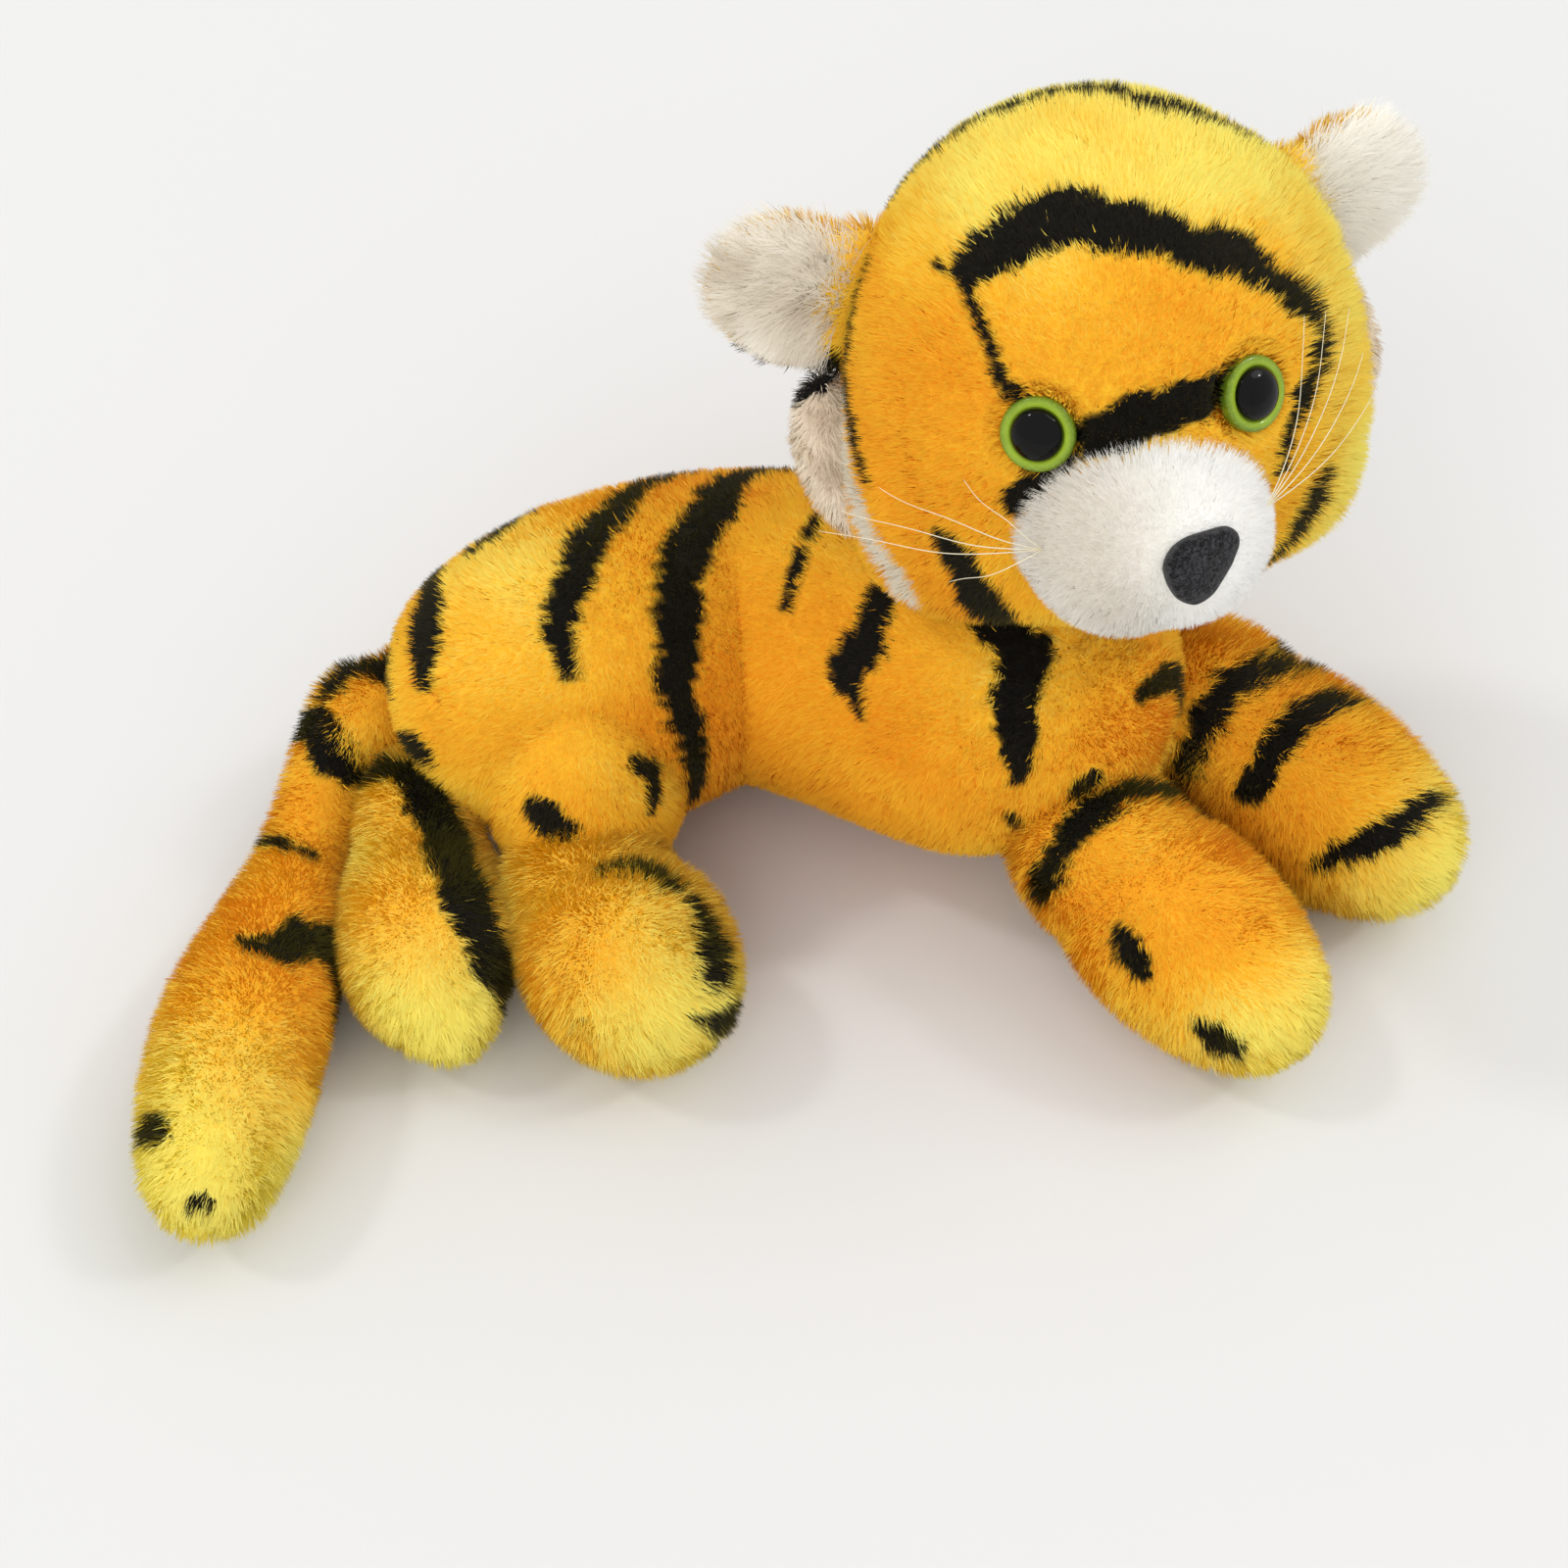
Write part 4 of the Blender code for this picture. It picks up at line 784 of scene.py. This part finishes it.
def grow(name, key, body, comb, keep=None, warmth=None, trim=None, inside=(), density=1.0, lengthen=1.0,
         clump=None):
    """Pile over a form.

    comb gives the way that it lies, keep and trim cut it, inside names forms that bury it, and clump
    gathers its tufts more.
    """
    form, pelt = FORMS[name], PELTS[key]
    t, a = scatter(form, pelt.density * density)
    skin, normal, ahead = facing(form, t, a)
    held = np.ones(len(t), bool) if keep is None else keep(skin, normal)
    for other in inside:
        held &= FORMS[other].depth(skin) < BURIED
    t, a, skin, normal, ahead = (part[held] for part in (t, a, skin, normal, ahead))
    root = form(t, a, pelt.bed)
    lie = flat_on(normal, comb(skin, normal, ahead))
    count = len(root)
    cross = np.cross(normal, lie)
    # Tufts lean together, each to its own side
    centres = rng.choice(count, max(8, count // TUFT_STRANDS), replace=False)
    tree = KDTree(len(centres))
    for number, centre in enumerate(centres):
        tree.insert(Vector(skin[centre]), number)
    tree.balance()
    tuft = np.array([tree.find(Vector(point))[1] for point in skin])
    stray = rng.normal(size=(len(centres), 2))[tuft]
    swirl = ripple(skin, 26.0, 3)
    lean = np.radians(pelt.lean + stray[:, 0] * 4 + rng.normal(size=count) * 8 + swirl * 4)
    yaw = stray[:, 1] * 0.18 + rng.normal(size=count) * 0.35 + swirl * 0.35
    lie_now = lie * np.cos(yaw)[:, None] + cross * np.sin(yaw)[:, None]
    length = pelt.length * lengthen * (0.86 + 0.14 * rng.random(count) + 0.04 * stray[:, 0])
    if trim is not None:
        length = length * trim(skin)
    low = np.maximum(lean - 0.25, 0.05)
    bend = np.minimum(lean + 0.22, 1.35)
    half = (length * 0.5)[:, None]
    mid = root + (normal * np.cos(low)[:, None] + lie_now * np.sin(low)[:, None]) * half
    tip = mid + (normal * np.cos(bend)[:, None] + lie_now * np.sin(bend)[:, None]) * half
    pull = skin[centres][tuft] - skin
    gather = np.full(count, pelt.tuft) if clump is None else pelt.tuft + clump(skin)
    tip = tip + (pull - normal * (pull * normal).sum(1)[:, None]) * gather[:, None]
    spin = rng.normal(size=count) * 0.65
    blade = unit(np.cross(tip - root, normal))
    blade = unit(blade * np.cos(spin)[:, None] + np.cross(unit(tip - root), blade) * np.sin(spin)[:, None])
    flat = np.cross(blade, tip - root)
    blade *= np.where((flat * normal).sum(1) < 0, -1, 1)[:, None]
    wide = blade * (pelt.width / 2 * (0.8 + 0.4 * rng.random(count)))[:, None]
    soft = unit(normal + unit(flat * np.sign((flat * normal).sum(1))[:, None]) * 0.25
                + rng.normal(size=(count, 3)) * 0.08)
    spot = skin * 0.6 + tip * 0.4
    shift = rng.normal(size=count) * 0.5
    dye_and_shade, pale = marked(name, spot, shift), marked(name, spot, shift, PALE)
    dye_and_shade = np.where(rng.random(count) < UNDYED, 0.0, dye_and_shade)
    warm = np.full(count, PLAIN_WARMTH) if warmth is None else warmth(skin)
    warm = np.clip(warm + ripple(skin, 30.0, 8) * 0.10 + rng.normal(size=count) * 0.10, 0, WARMEST)
    marks_tones_and_light = np.stack([dye_and_shade, warm, pale], 1)
    order = np.lexsort((dye_and_shade > 0.5, tuft))
    for number, part in enumerate(np.array_split(order, -(-count // MOST_STRANDS))):
        title = "%s_pile" % name if count <= MOST_STRANDS else "%s_pile_%d" % (name, number + 1)
        strands(title, root[part], mid[part], tip[part], wide[part], soft[part], marks_tones_and_light[part],
                pile_looks[key], body)


def coat(name, key, body, comb, nodes, rows, columns, warmth=None, last=1.0, inset=HIDE_SINK, dent=None,
         **pile):
    """One stuffed form: its backing cloth, and the pile on it."""
    hide(name, key, body, nodes, rows, columns, warmth, last, inset, dent)
    grow(name, key, body, comb, warmth=warmth, **pile)


# Body, haunch, legs and tail
def to_rump(skin, normal, ahead):
    return -ahead + np.array((0, 0, -0.8))


def to_tip(skin, normal, ahead):
    return ahead + np.array((0, 0, -0.15))


def limb_ahead(name):
    return np.array((cos(radians(LIMBS[name].heading)), sin(radians(LIMBS[name].heading)), -0.2))


# Painted light: the back is lighter where the light falls from above, and the lower flank is darker in
# painted shade; the fur is also lighter toward rump and chest, and the ripple varies its tone at random.
def torso_tone_and_painted_light(skin):
    return (0.06 + 0.38 * smooth(skin[:, 2], 50, 76) + 0.32 * smooth(-skin[:, 0], 12, 50)
            + 0.26 * smooth(skin[:, 0], 28, 58) - 0.15 * smooth(22 - skin[:, 2], 0, 18)
            - 0.06 * ripple(skin, 60.0, 12))


# Painted light: the haunch is lighter toward its top, where the light falls; the ripple varies its tone at
# random.
def thigh_tone_and_painted_light(skin):
    return 0.36 + 0.10 * smooth(skin[:, 2], 35, 58) + 0.06 * ripple(skin, 40.0, 14)


def thinned_below(skin, normal):
    """Less than half of the pile on the belly, which lies on the floor."""
    return (skin[:, 2] > 4) | (rng.random(len(skin)) < 0.45)


def torso_matting(skin):
    return 0.45 * smooth(ripple(skin, 44.0, 41) + smooth(skin[:, 0], 10, 55), 0.5, 1.5)


coat("torso", "orange", "torso", to_rump, ("torso_skin", "torso_filling"), 170, 150, torso_tone_and_painted_light,
     keep=thinned_below, inside=("thigh_right", "head"), clump=torso_matting)
coat("thigh_right", "orange", "torso",
     lambda skin, normal, ahead: np.tile((-0.2, -0.3, -1.0), (len(skin), 1)),
     ("thigh_right",), 90, 100, thigh_tone_and_painted_light, inside=("torso",))

LIMB_WARMTHS = {"front_leg_right": 0.38, "front_leg_left": 0.30, "hind_leg_right": 0.70,
                "hind_leg_left": 0.72, "tail": 0.44}
LIMB_FLUFF = {"front_leg_right": 1.25, "front_leg_left": 1.5, "hind_leg_right": 1.4,
              "hind_leg_left": 1.25, "tail": 1.2}
for name, limb in LIMBS.items():
    def how_far(skin):
        return np.linalg.norm(skin - np.array(limb.root), axis=1) / (limb.length + limb.ball * 0.6)

    def limb_warmth(skin):
        return LIMB_WARMTHS[name] + (WARMEST - LIMB_WARMTHS[name]) * smooth(how_far(skin), 0.56, 0.94)

    coat(name, "orange", name, to_tip, (name + "_skin", name + "_filling"), 120, 100, limb_warmth,
         trim=lambda skin: LIMB_FLUFF[name] + 0.25 * smooth(how_far(skin), 0.6, 1.05),
         inside=("torso", "thigh_right", name + "_root"),
         clump=lambda skin: 0.3 * smooth(how_far(skin), 0.55, 0.95))
    coat(name + "_root", "orange", name, lambda skin, normal, ahead: skin * 0 + limb_ahead(name), (), 56, 60,
         limb_warmth, inset=0.8, inside=("torso", "thigh_right", name), lengthen=LIMB_FLUFF[name])

# Head and neck
nose_spot, nose_axes = nose_place()
eye_spots = [eye_place(side) for word, side in SIDES]


def from_nose(skin, normal, ahead):
    lie = unit(skin - nose_spot)
    for spot, axes in eye_spots:
        away = skin - (spot + axes[:, 2] * 3)
        off = np.linalg.norm(away, axis=1)
        lie = lie + unit(away) * (2.2 * np.exp(-(off / 9.0) ** 2))[:, None]
    return lie + HEAD_TURN[:, 1] * 0.25


def clear_of_eyes(skin, normal):
    held = np.ones(len(skin), bool)
    for spot, axes in eye_spots:
        held &= ((np.linalg.norm(np.cross(skin - spot, axes[:, 2]), axis=1) > EYE_RADIUS + 0.2)
                 | ((skin - spot) @ axes[:, 2] < -10))
    return held


def eye_sockets(points):
    """The head's cloth drawn in under each safety eye."""
    for spot, axes in eye_spots:
        local = (points - spot) @ axes
        off = np.hypot(local[:, 0], local[:, 1])
        floor = -0.5 + 4.5 * smooth(off, EYE_RADIUS + 0.3, EYE_RADIUS + 4.5)
        local[:, 2] = np.where(local[:, 2] > -8, np.minimum(local[:, 2], floor), local[:, 2])
        points = spot + local @ axes.T
    return points


def in_head(skin):
    return (skin - HEAD_CENTRE) @ HEAD_TURN


def head_trim(skin):
    short = np.ones(len(skin))
    for spot, axes in eye_spots:
        off = np.linalg.norm(skin - spot, axis=1)
        short *= 0.80 + 0.20 * smooth(off, 8, 14)
    local = in_head(skin)
    return short * (1 + 0.75 * smooth(local[:, 0], 26, 44) + 0.15 * smooth(local[:, 2], 30, 48))


def head_matting(skin):
    local = in_head(skin)
    brow = np.exp(-((local[:, 0] / 22) ** 2 + ((local[:, 2] - 17) / 6) ** 2)) * (local[:, 1] < 0)
    return 0.4 * brow + 0.15 * smooth(ripple(skin, 30.0, 43), 0.3, 1.2)


# Painted light: the crown and the head's left side are lighter where the light falls, and its right side is
# darker in painted shade; the bridge of the nose is lighter too, and the ripple varies the tone at random.
def head_tone_and_painted_light(skin):
    local = in_head(skin)
    bridge = np.exp(-((local[:, 0] / 20) ** 2 + ((local[:, 2] - 6) / 5) ** 2)) * (local[:, 1] < 0)
    return (0.38 - 0.22 * smooth(-local[:, 0], 18, 38) + 0.56 * smooth(local[:, 2], 28, 47)
            + 0.46 * smooth(local[:, 0], 24, 40) + 0.35 * bridge + 0.05 * ripple(skin, 45.0, 15))


# Painted light: the muzzle's white is darker on its right side and lighter on its left side, where the light
# falls.
def muzzle_painted_light(skin):
    return 0.12 + 1.0 * smooth(((skin - muzzle.centre) @ HEAD_TURN)[:, 0], -14, 12)


def clear_of_nose(skin, normal):
    local = (skin - nose_spot) @ nose_axes
    outline = np.array(NOSE_OUTLINE) * NOSE_SIZE
    angle = np.arctan2(local[:, 1], local[:, 0])
    corners = np.arctan2(outline[:, 1], outline[:, 0])
    order = np.argsort(corners)
    reach = np.interp(angle, corners[order], np.hypot(*outline.T)[order], period=2 * pi)
    return (np.hypot(local[:, 0], local[:, 1]) > reach - 0.5) | (local[:, 2] < -6)


def muzzle_trim(skin):
    return ((0.72 + 0.28 * smooth(np.linalg.norm(skin - nose_spot, axis=1), 6, 14))
            * (1 + 0.55 * smooth(head.depth(skin), -7, 1)))


coat("head", "orange", "head", from_nose, ("head_skin", "head_filling"), 170, 180, head_tone_and_painted_light,
     dent=eye_sockets, keep=clear_of_eyes, trim=head_trim,
     inside=("muzzle", "cheek_ruff_right", "cheek_ruff_left"), clump=head_matting)
coat("muzzle", "white", "head", lambda skin, normal, ahead: skin - nose_spot, ("muzzle",), 100, 110,
     muzzle_painted_light, keep=clear_of_nose, trim=muzzle_trim, inside=("head",))

for word, side in SIDES:
    spot, axes = ear_place(side)
    middle = spot + axes[:, 1] * EAR_RISE

    def off_root(skin, normal):
        return ((skin - spot) @ axes)[:, 1] > EAR_ROOT_LIFT

    def from_middle(skin, normal, ahead):
        return unit(skin - middle) * 0.6 + axes[:, 1]

    body = "ear_" + word

    # Painted light: the left ear's front is lighter than the right ear's, as the light falls on the left; the
    # ripple varies its tone at random.
    def ear_tone_and_painted_light(skin):
        return 0.80 + 0.34 * side + 0.22 * ripple(skin, 9.0, 31)

    def lower_edge(skin):
        return 1 - 0.5 * smooth(((skin - spot) @ axes)[:, 0] * side, 5, 12)

    def before_front(skin, normal):
        return FORMS[body + "_front"].depth(skin) < 0.8

    coat(body + "_front", "beige", body, from_middle, (body + "_front",), 60, 64, ear_tone_and_painted_light, last=2.0,
         inset=1.2, keep=off_root, trim=lower_edge, density=1.5, lengthen=1.6)
    coat(body + "_back", "yellow", body, from_middle, (body + "_back",), 60, 64, last=2.0, inset=1.2,
         keep=off_root)
    FORMS[body + "_root"] = Oval(spot - axes[:, 0] * side * EAR_ROOT_RISE + axes[:, 1], EAR_ROOT,
                                 axes @ turn(90, "Y"))
    coat(body + "_root", "yellow", body, lambda skin, normal, ahead: axes[:, 1] + 0 * skin, (), 40, 44,
         inset=0.6, keep=before_front, inside=("head", body + "_back"), lengthen=1.2)
    ruff = "cheek_ruff_" + word
    hide(ruff, "ruff", "head", (ruff,), 70, 60)
    grow(ruff, "ruff", "head", to_tip, warmth=lambda skin: 0.45 + 0.2 * ripple(skin, 10.0, 33),
         inside=("head",))


def lathe(name, profile, spot, axes, look, body, steps=72):
    """A profile of radius and height turned round the Z axis of a frame; rim grows over its outer third."""
    angles = np.arange(steps) * 2 * pi / steps
    rings = [np.stack([r * np.cos(angles), r * np.sin(angles), np.full(steps, h)], 1) for r, h in profile]
    thing = make_piece(name, spot + np.vstack(rings) @ np.asarray(axes).T, grid_faces(len(profile), steps),
                       look, body)
    radii = np.repeat([r for r, h in profile], steps)
    add_attribute(thing.data, "rim", "FLOAT", "value", smooth(radii / radii.max(), 0.70, 1.02))
    return thing


# Safety eyes, nose, whiskers and the neck's sleeve
def iris_finish():
    finish = Finish("lime_iris", IOR=1.49, Specular_IOR_Level=0.3, Coat_Roughness=0.03)
    cloud = finish.noise(420.0, 5.0, 0.6, 0.4)
    fleck = finish.noise(2600.0, 2.0)
    rim = finish.node("Attribute", {"attribute_name": "rim"}, output=2)
    lime = finish.blend((cloud * 0.6 + 0.75 - rim).clamped(), (0.10, 0.17, 0.006), (0.40, 0.58, 0.035))
    return finish.drive(Base_Color=finish.blend((fleck - 0.45).clamped(), lime, (0.46, 0.58, 0.10)),
                        Roughness=0.14 + cloud * 0.10, Coat_Weight=0.25)


def gloss_finish(name, colour, dust):
    finish = Finish(name, IOR=1.45, Specular_IOR_Level=0.16, Coat_Roughness=0.03)
    haze = finish.noise(300.0, 4.0)
    return finish.drive(Base_Color=finish.blend(haze, colour, dust), Roughness=0.02 + haze * 0.05,
                        Coat_Weight=0.1)


def felt_finish():
    finish = Finish("black_felt", Sheen_Weight=0.2, Sheen_Roughness=0.5, Specular_IOR_Level=0.1)
    matted = finish.noise(1300.0, 4.0, 0.75, 0.6)
    fleck = (matted * 4.6 - 2.05).clamped()
    bump = finish.node("Bump", {}, {"Strength": 1.0, "Distance": 0.0006, "Height": matted})
    return finish.drive(Base_Color=finish.blend(fleck, (0.002, 0.002, 0.003), (0.060, 0.058, 0.064)),
                        Roughness=0.78 + matted * 0.2, Normal=bump)


def nylon_finish():
    finish = Finish("cream_nylon", IOR=1.53, Coat_Roughness=0.1)
    streak = finish.noise(500.0, 3.0)
    return finish.drive(Base_Color=finish.blend(streak, (0.80, 0.70, 0.46), (0.95, 0.89, 0.70)),
                        Roughness=0.24 + streak * 0.15, Coat_Weight=0.3)


iris_look = iris_finish()
pupil_look = gloss_finish("black_pupil", (0.0015, 0.0015, 0.0015), (0.004, 0.004, 0.004))
washer_look = gloss_finish("washer_plastic", (0.50, 0.50, 0.48), (0.62, 0.62, 0.60))
felt_look = felt_finish()
nylon_look = nylon_finish()

for word, side in SIDES:
    spot, axes = eye_place(side)
    quarter = np.linspace(0, pi / 2, 14)
    rim = EYE_RADIUS - 0.9
    iris = [(0.02, 2.0), (PUPIL_RADIUS - 0.1, 2.0), (PUPIL_RADIUS + 0.1, 2.35), (PUPIL_RADIUS + 0.35, 2.85)]
    iris += [(rim + 0.9 * sin(q), 2.1 + 0.85 * cos(q)) for q in quarter]
    iris += [(EYE_RADIUS, 1.2), (EYE_RADIUS - 0.1, 0.05), (EYE_RADIUS - 0.4, 0.0), (1.75, 0.0), (1.6, -0.2),
             (1.6, -8.8), (1.4, -9.0), (0.02, -9.0)]
    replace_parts(lathe("eye_%s_iris_dome" % word, iris[::-1], spot, axes, iris_look, "head"),
                "eye_%s_iris" % word)
    dome = [(0.02, 2.3), (PUPIL_RADIUS - 0.25, 2.3)] + [
        ((PUPIL_RADIUS - 0.05) * cos(q), 2.8 + 2.4 * sin(q)) for q in quarter[:-1]] + [(0.02, 5.2)]
    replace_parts(lathe("eye_%s_pupil_dome" % word, dome, spot, axes, pupil_look, "head"),
                "eye_%s_pupil" % word)
    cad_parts["eye_%s_washer" % word].data.materials[0] = washer_look


def nose_piece():
    """A felt pad cut to a rounded wedge, domed and soft at its edge."""
    outline = np.array([(x * NOSE_SIZE[0], y * NOSE_SIZE[1], 0) for x, y in NOSE_OUTLINE])
    steps = 96
    ring = along(np.vstack([outline, outline[:3]]), (1 + np.arange(steps) / steps * 12) / 14)[:, :2]
    rings = []
    for share, height in ((1.0, 0.1), (1.0, 0.9), (0.985, 1.6), (0.95, 2.05), (0.88, 2.4), (0.72, 2.7),
                          (0.5, 2.95), (0.25, 3.05), (0.02, 3.1)):
        wobble = ripple(np.column_stack([ring * share, np.full(steps, height)]), 6.0, 21) * 0.09
        rings.append(np.column_stack([ring * share, np.full(steps, height) + wobble]))
    back = [np.column_stack([ring * 0.02, np.full(steps, 0.1)])]
    points = nose_spot + np.vstack(back + rings) @ nose_axes.T
    faces = grid_faces(len(rings) + 1, steps)
    thing = make_piece("felt_nose", points, faces, felt_look, "head")
    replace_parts(thing, "nose")


nose_piece()


def tube(points, radii, sides):
    """Rings of a round strand along points."""
    points = np.asarray(points, float)
    ahead = unit(np.gradient(points, axis=0))
    side = unit(np.cross(ahead, (0.3, 0.1, 1.0)))
    rise = np.cross(ahead, side)
    angles = np.arange(sides) * 2 * pi / sides
    return [p + r * (s * np.cos(angles)[:, None] + u * np.sin(angles)[:, None])
            for p, r, s, u in zip(points, radii, side, rise)]


for word, side in SIDES:
    out = mirrored(KNOT_DIRECTION, side)
    reach = 1 / np.linalg.norm(out / muzzle.radii) + KNOT_RADIUS * (1 - KNOT_SINK)
    knot = muzzle.centre + HEAD_TURN @ (out * reach)
    vertices, faces = [], []
    for number, (angle, share) in enumerate(WHISKER_FANS[word]):
        way = unit(np.array((cos(radians(angle)) * side, -WHISKER_FORWARD, sin(radians(angle)))))
        inward, back, up = WHISKER_SWEEPS[word]
        sweep = np.array((inward * side, back, up)) * WHISKER_BEND
        t = np.linspace(0, 1, 40)[:, None]
        wave = np.sin(t * 9 + number) * (0.35, 0.2, 0.35) * t
        route = knot + ((way * t + sweep * t * t) * WHISKER_LENGTH * share + wave) @ HEAD_TURN.T
        radii = WHISKER_THICK - WHISKER_TAPER * t[:, 0]
        radii[0] = radii[-1] = WHISKER_END
        rings = tube(route, radii, WHISKER_SIDES)
        faces += grid_faces(len(rings), WHISKER_SIDES, len(vertices) * WHISKER_SIDES)
        vertices += rings
    bunch = make_piece("whisker_bunch_" + word, np.vstack(vertices), faces, nylon_look, "head")
    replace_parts(bunch, "whiskers_" + word)

neck_end = -HEAD_RADIUS - NECK_DEPTH
sleeve = [(0.02, neck_end + 0.4), (NECK_MOUTH - 1.2, neck_end + 0.4), (NECK_MOUTH - 0.3, neck_end + 1.4)]
sleeve += [(NECK_MOUTH - 0.3 + 0.12 * sin(k * 1.9), neck_end + 2 + k * 1.05) for k in range(9)]
sleeve += [(NECK_MOUTH - 1.4, -HEAD_RADIUS - 0.9), (0.02, -HEAD_RADIUS - 0.9)]
neck_sleeve = lathe("neck_sleeve", sleeve, HEAD_CENTRE, HEAD_TURN, hide_looks["orange"], "neck")
add_attribute(neck_sleeve.data, "pile", "FLOAT_COLOR", "color",
              np.tile((0.0, HIDE_HEIGHT, 0.25, 0.0), (len(neck_sleeve.data.vertices), 1)))
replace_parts(neck_sleeve, "neck_filling")

# Floor, lamps and camera
FLOOR_HALF = 12.0
TARGET = Vector((0.005, -0.018, 0.0))
TILT = radians(52.0)
DISTANCE = 0.5815
WORLD_LEVEL = 0.73


def floor_piece():
    corners = [(x * FLOOR_HALF, y * FLOOR_HALF, 0) for x, y in ((-1, -1), (1, -1), (1, 1), (-1, 1))]
    mesh = bpy.data.meshes.new("floor")
    mesh.from_pydata(corners, [], [(0, 1, 2, 3)])
    finish = Finish("pale_floor", Specular_IOR_Level=0.1)
    cloud = finish.noise(3.0, 2.0)
    mesh.materials.append(finish.drive(Base_Color=finish.blend(cloud, (0.75, 0.75, 0.74), (0.78, 0.78, 0.77)),
                                       Roughness=0.8 + cloud * 0.1))
    thing = add_thing("floor", mesh)


def lamp(name, direction, strength, spread, gloss=True):
    light = bpy.data.lights.new(name, "SUN")
    light.energy = strength
    light.angle = radians(spread)
    thing = add_thing(name, light)
    thing.rotation_euler = Vector(direction).to_track_quat("Z", "Y").to_euler()
    thing.visible_glossy = gloss


floor_piece()
lamp("window", (0.52, 0.30, 0.80), 0.58, 40.0)
lamp("glint_left", (-0.62, 0.20, 0.76), 0.38, 7.0)
lamp("glint_right", (0.70, 0.18, 0.69), 0.32, 7.0)
lamp("room", (-0.42, -0.82, 0.50), 0.88, 50.0, gloss=False)
world = bpy.data.worlds.new("studio")
world.use_nodes = True
sky = world.node_tree.nodes["Background"]
sky.inputs["Color"].default_value = (1.0, 1.0, 1.0, 1)
sky.inputs["Strength"].default_value = WORLD_LEVEL
scene = bpy.context.scene
scene.world = world
scene.view_settings.view_transform = "Standard"
lens = bpy.data.cameras.new("photo_view")
lens.sensor_fit = "AUTO"
lens.angle = radians(34.0)
camera = add_thing("photo_view", lens)
camera.location = TARGET + DISTANCE * Vector((0, -cos(TILT), sin(TILT)))
camera.rotation_euler = (TARGET - camera.location).to_track_quat("-Z", "Y").to_euler()
scene.camera = camera
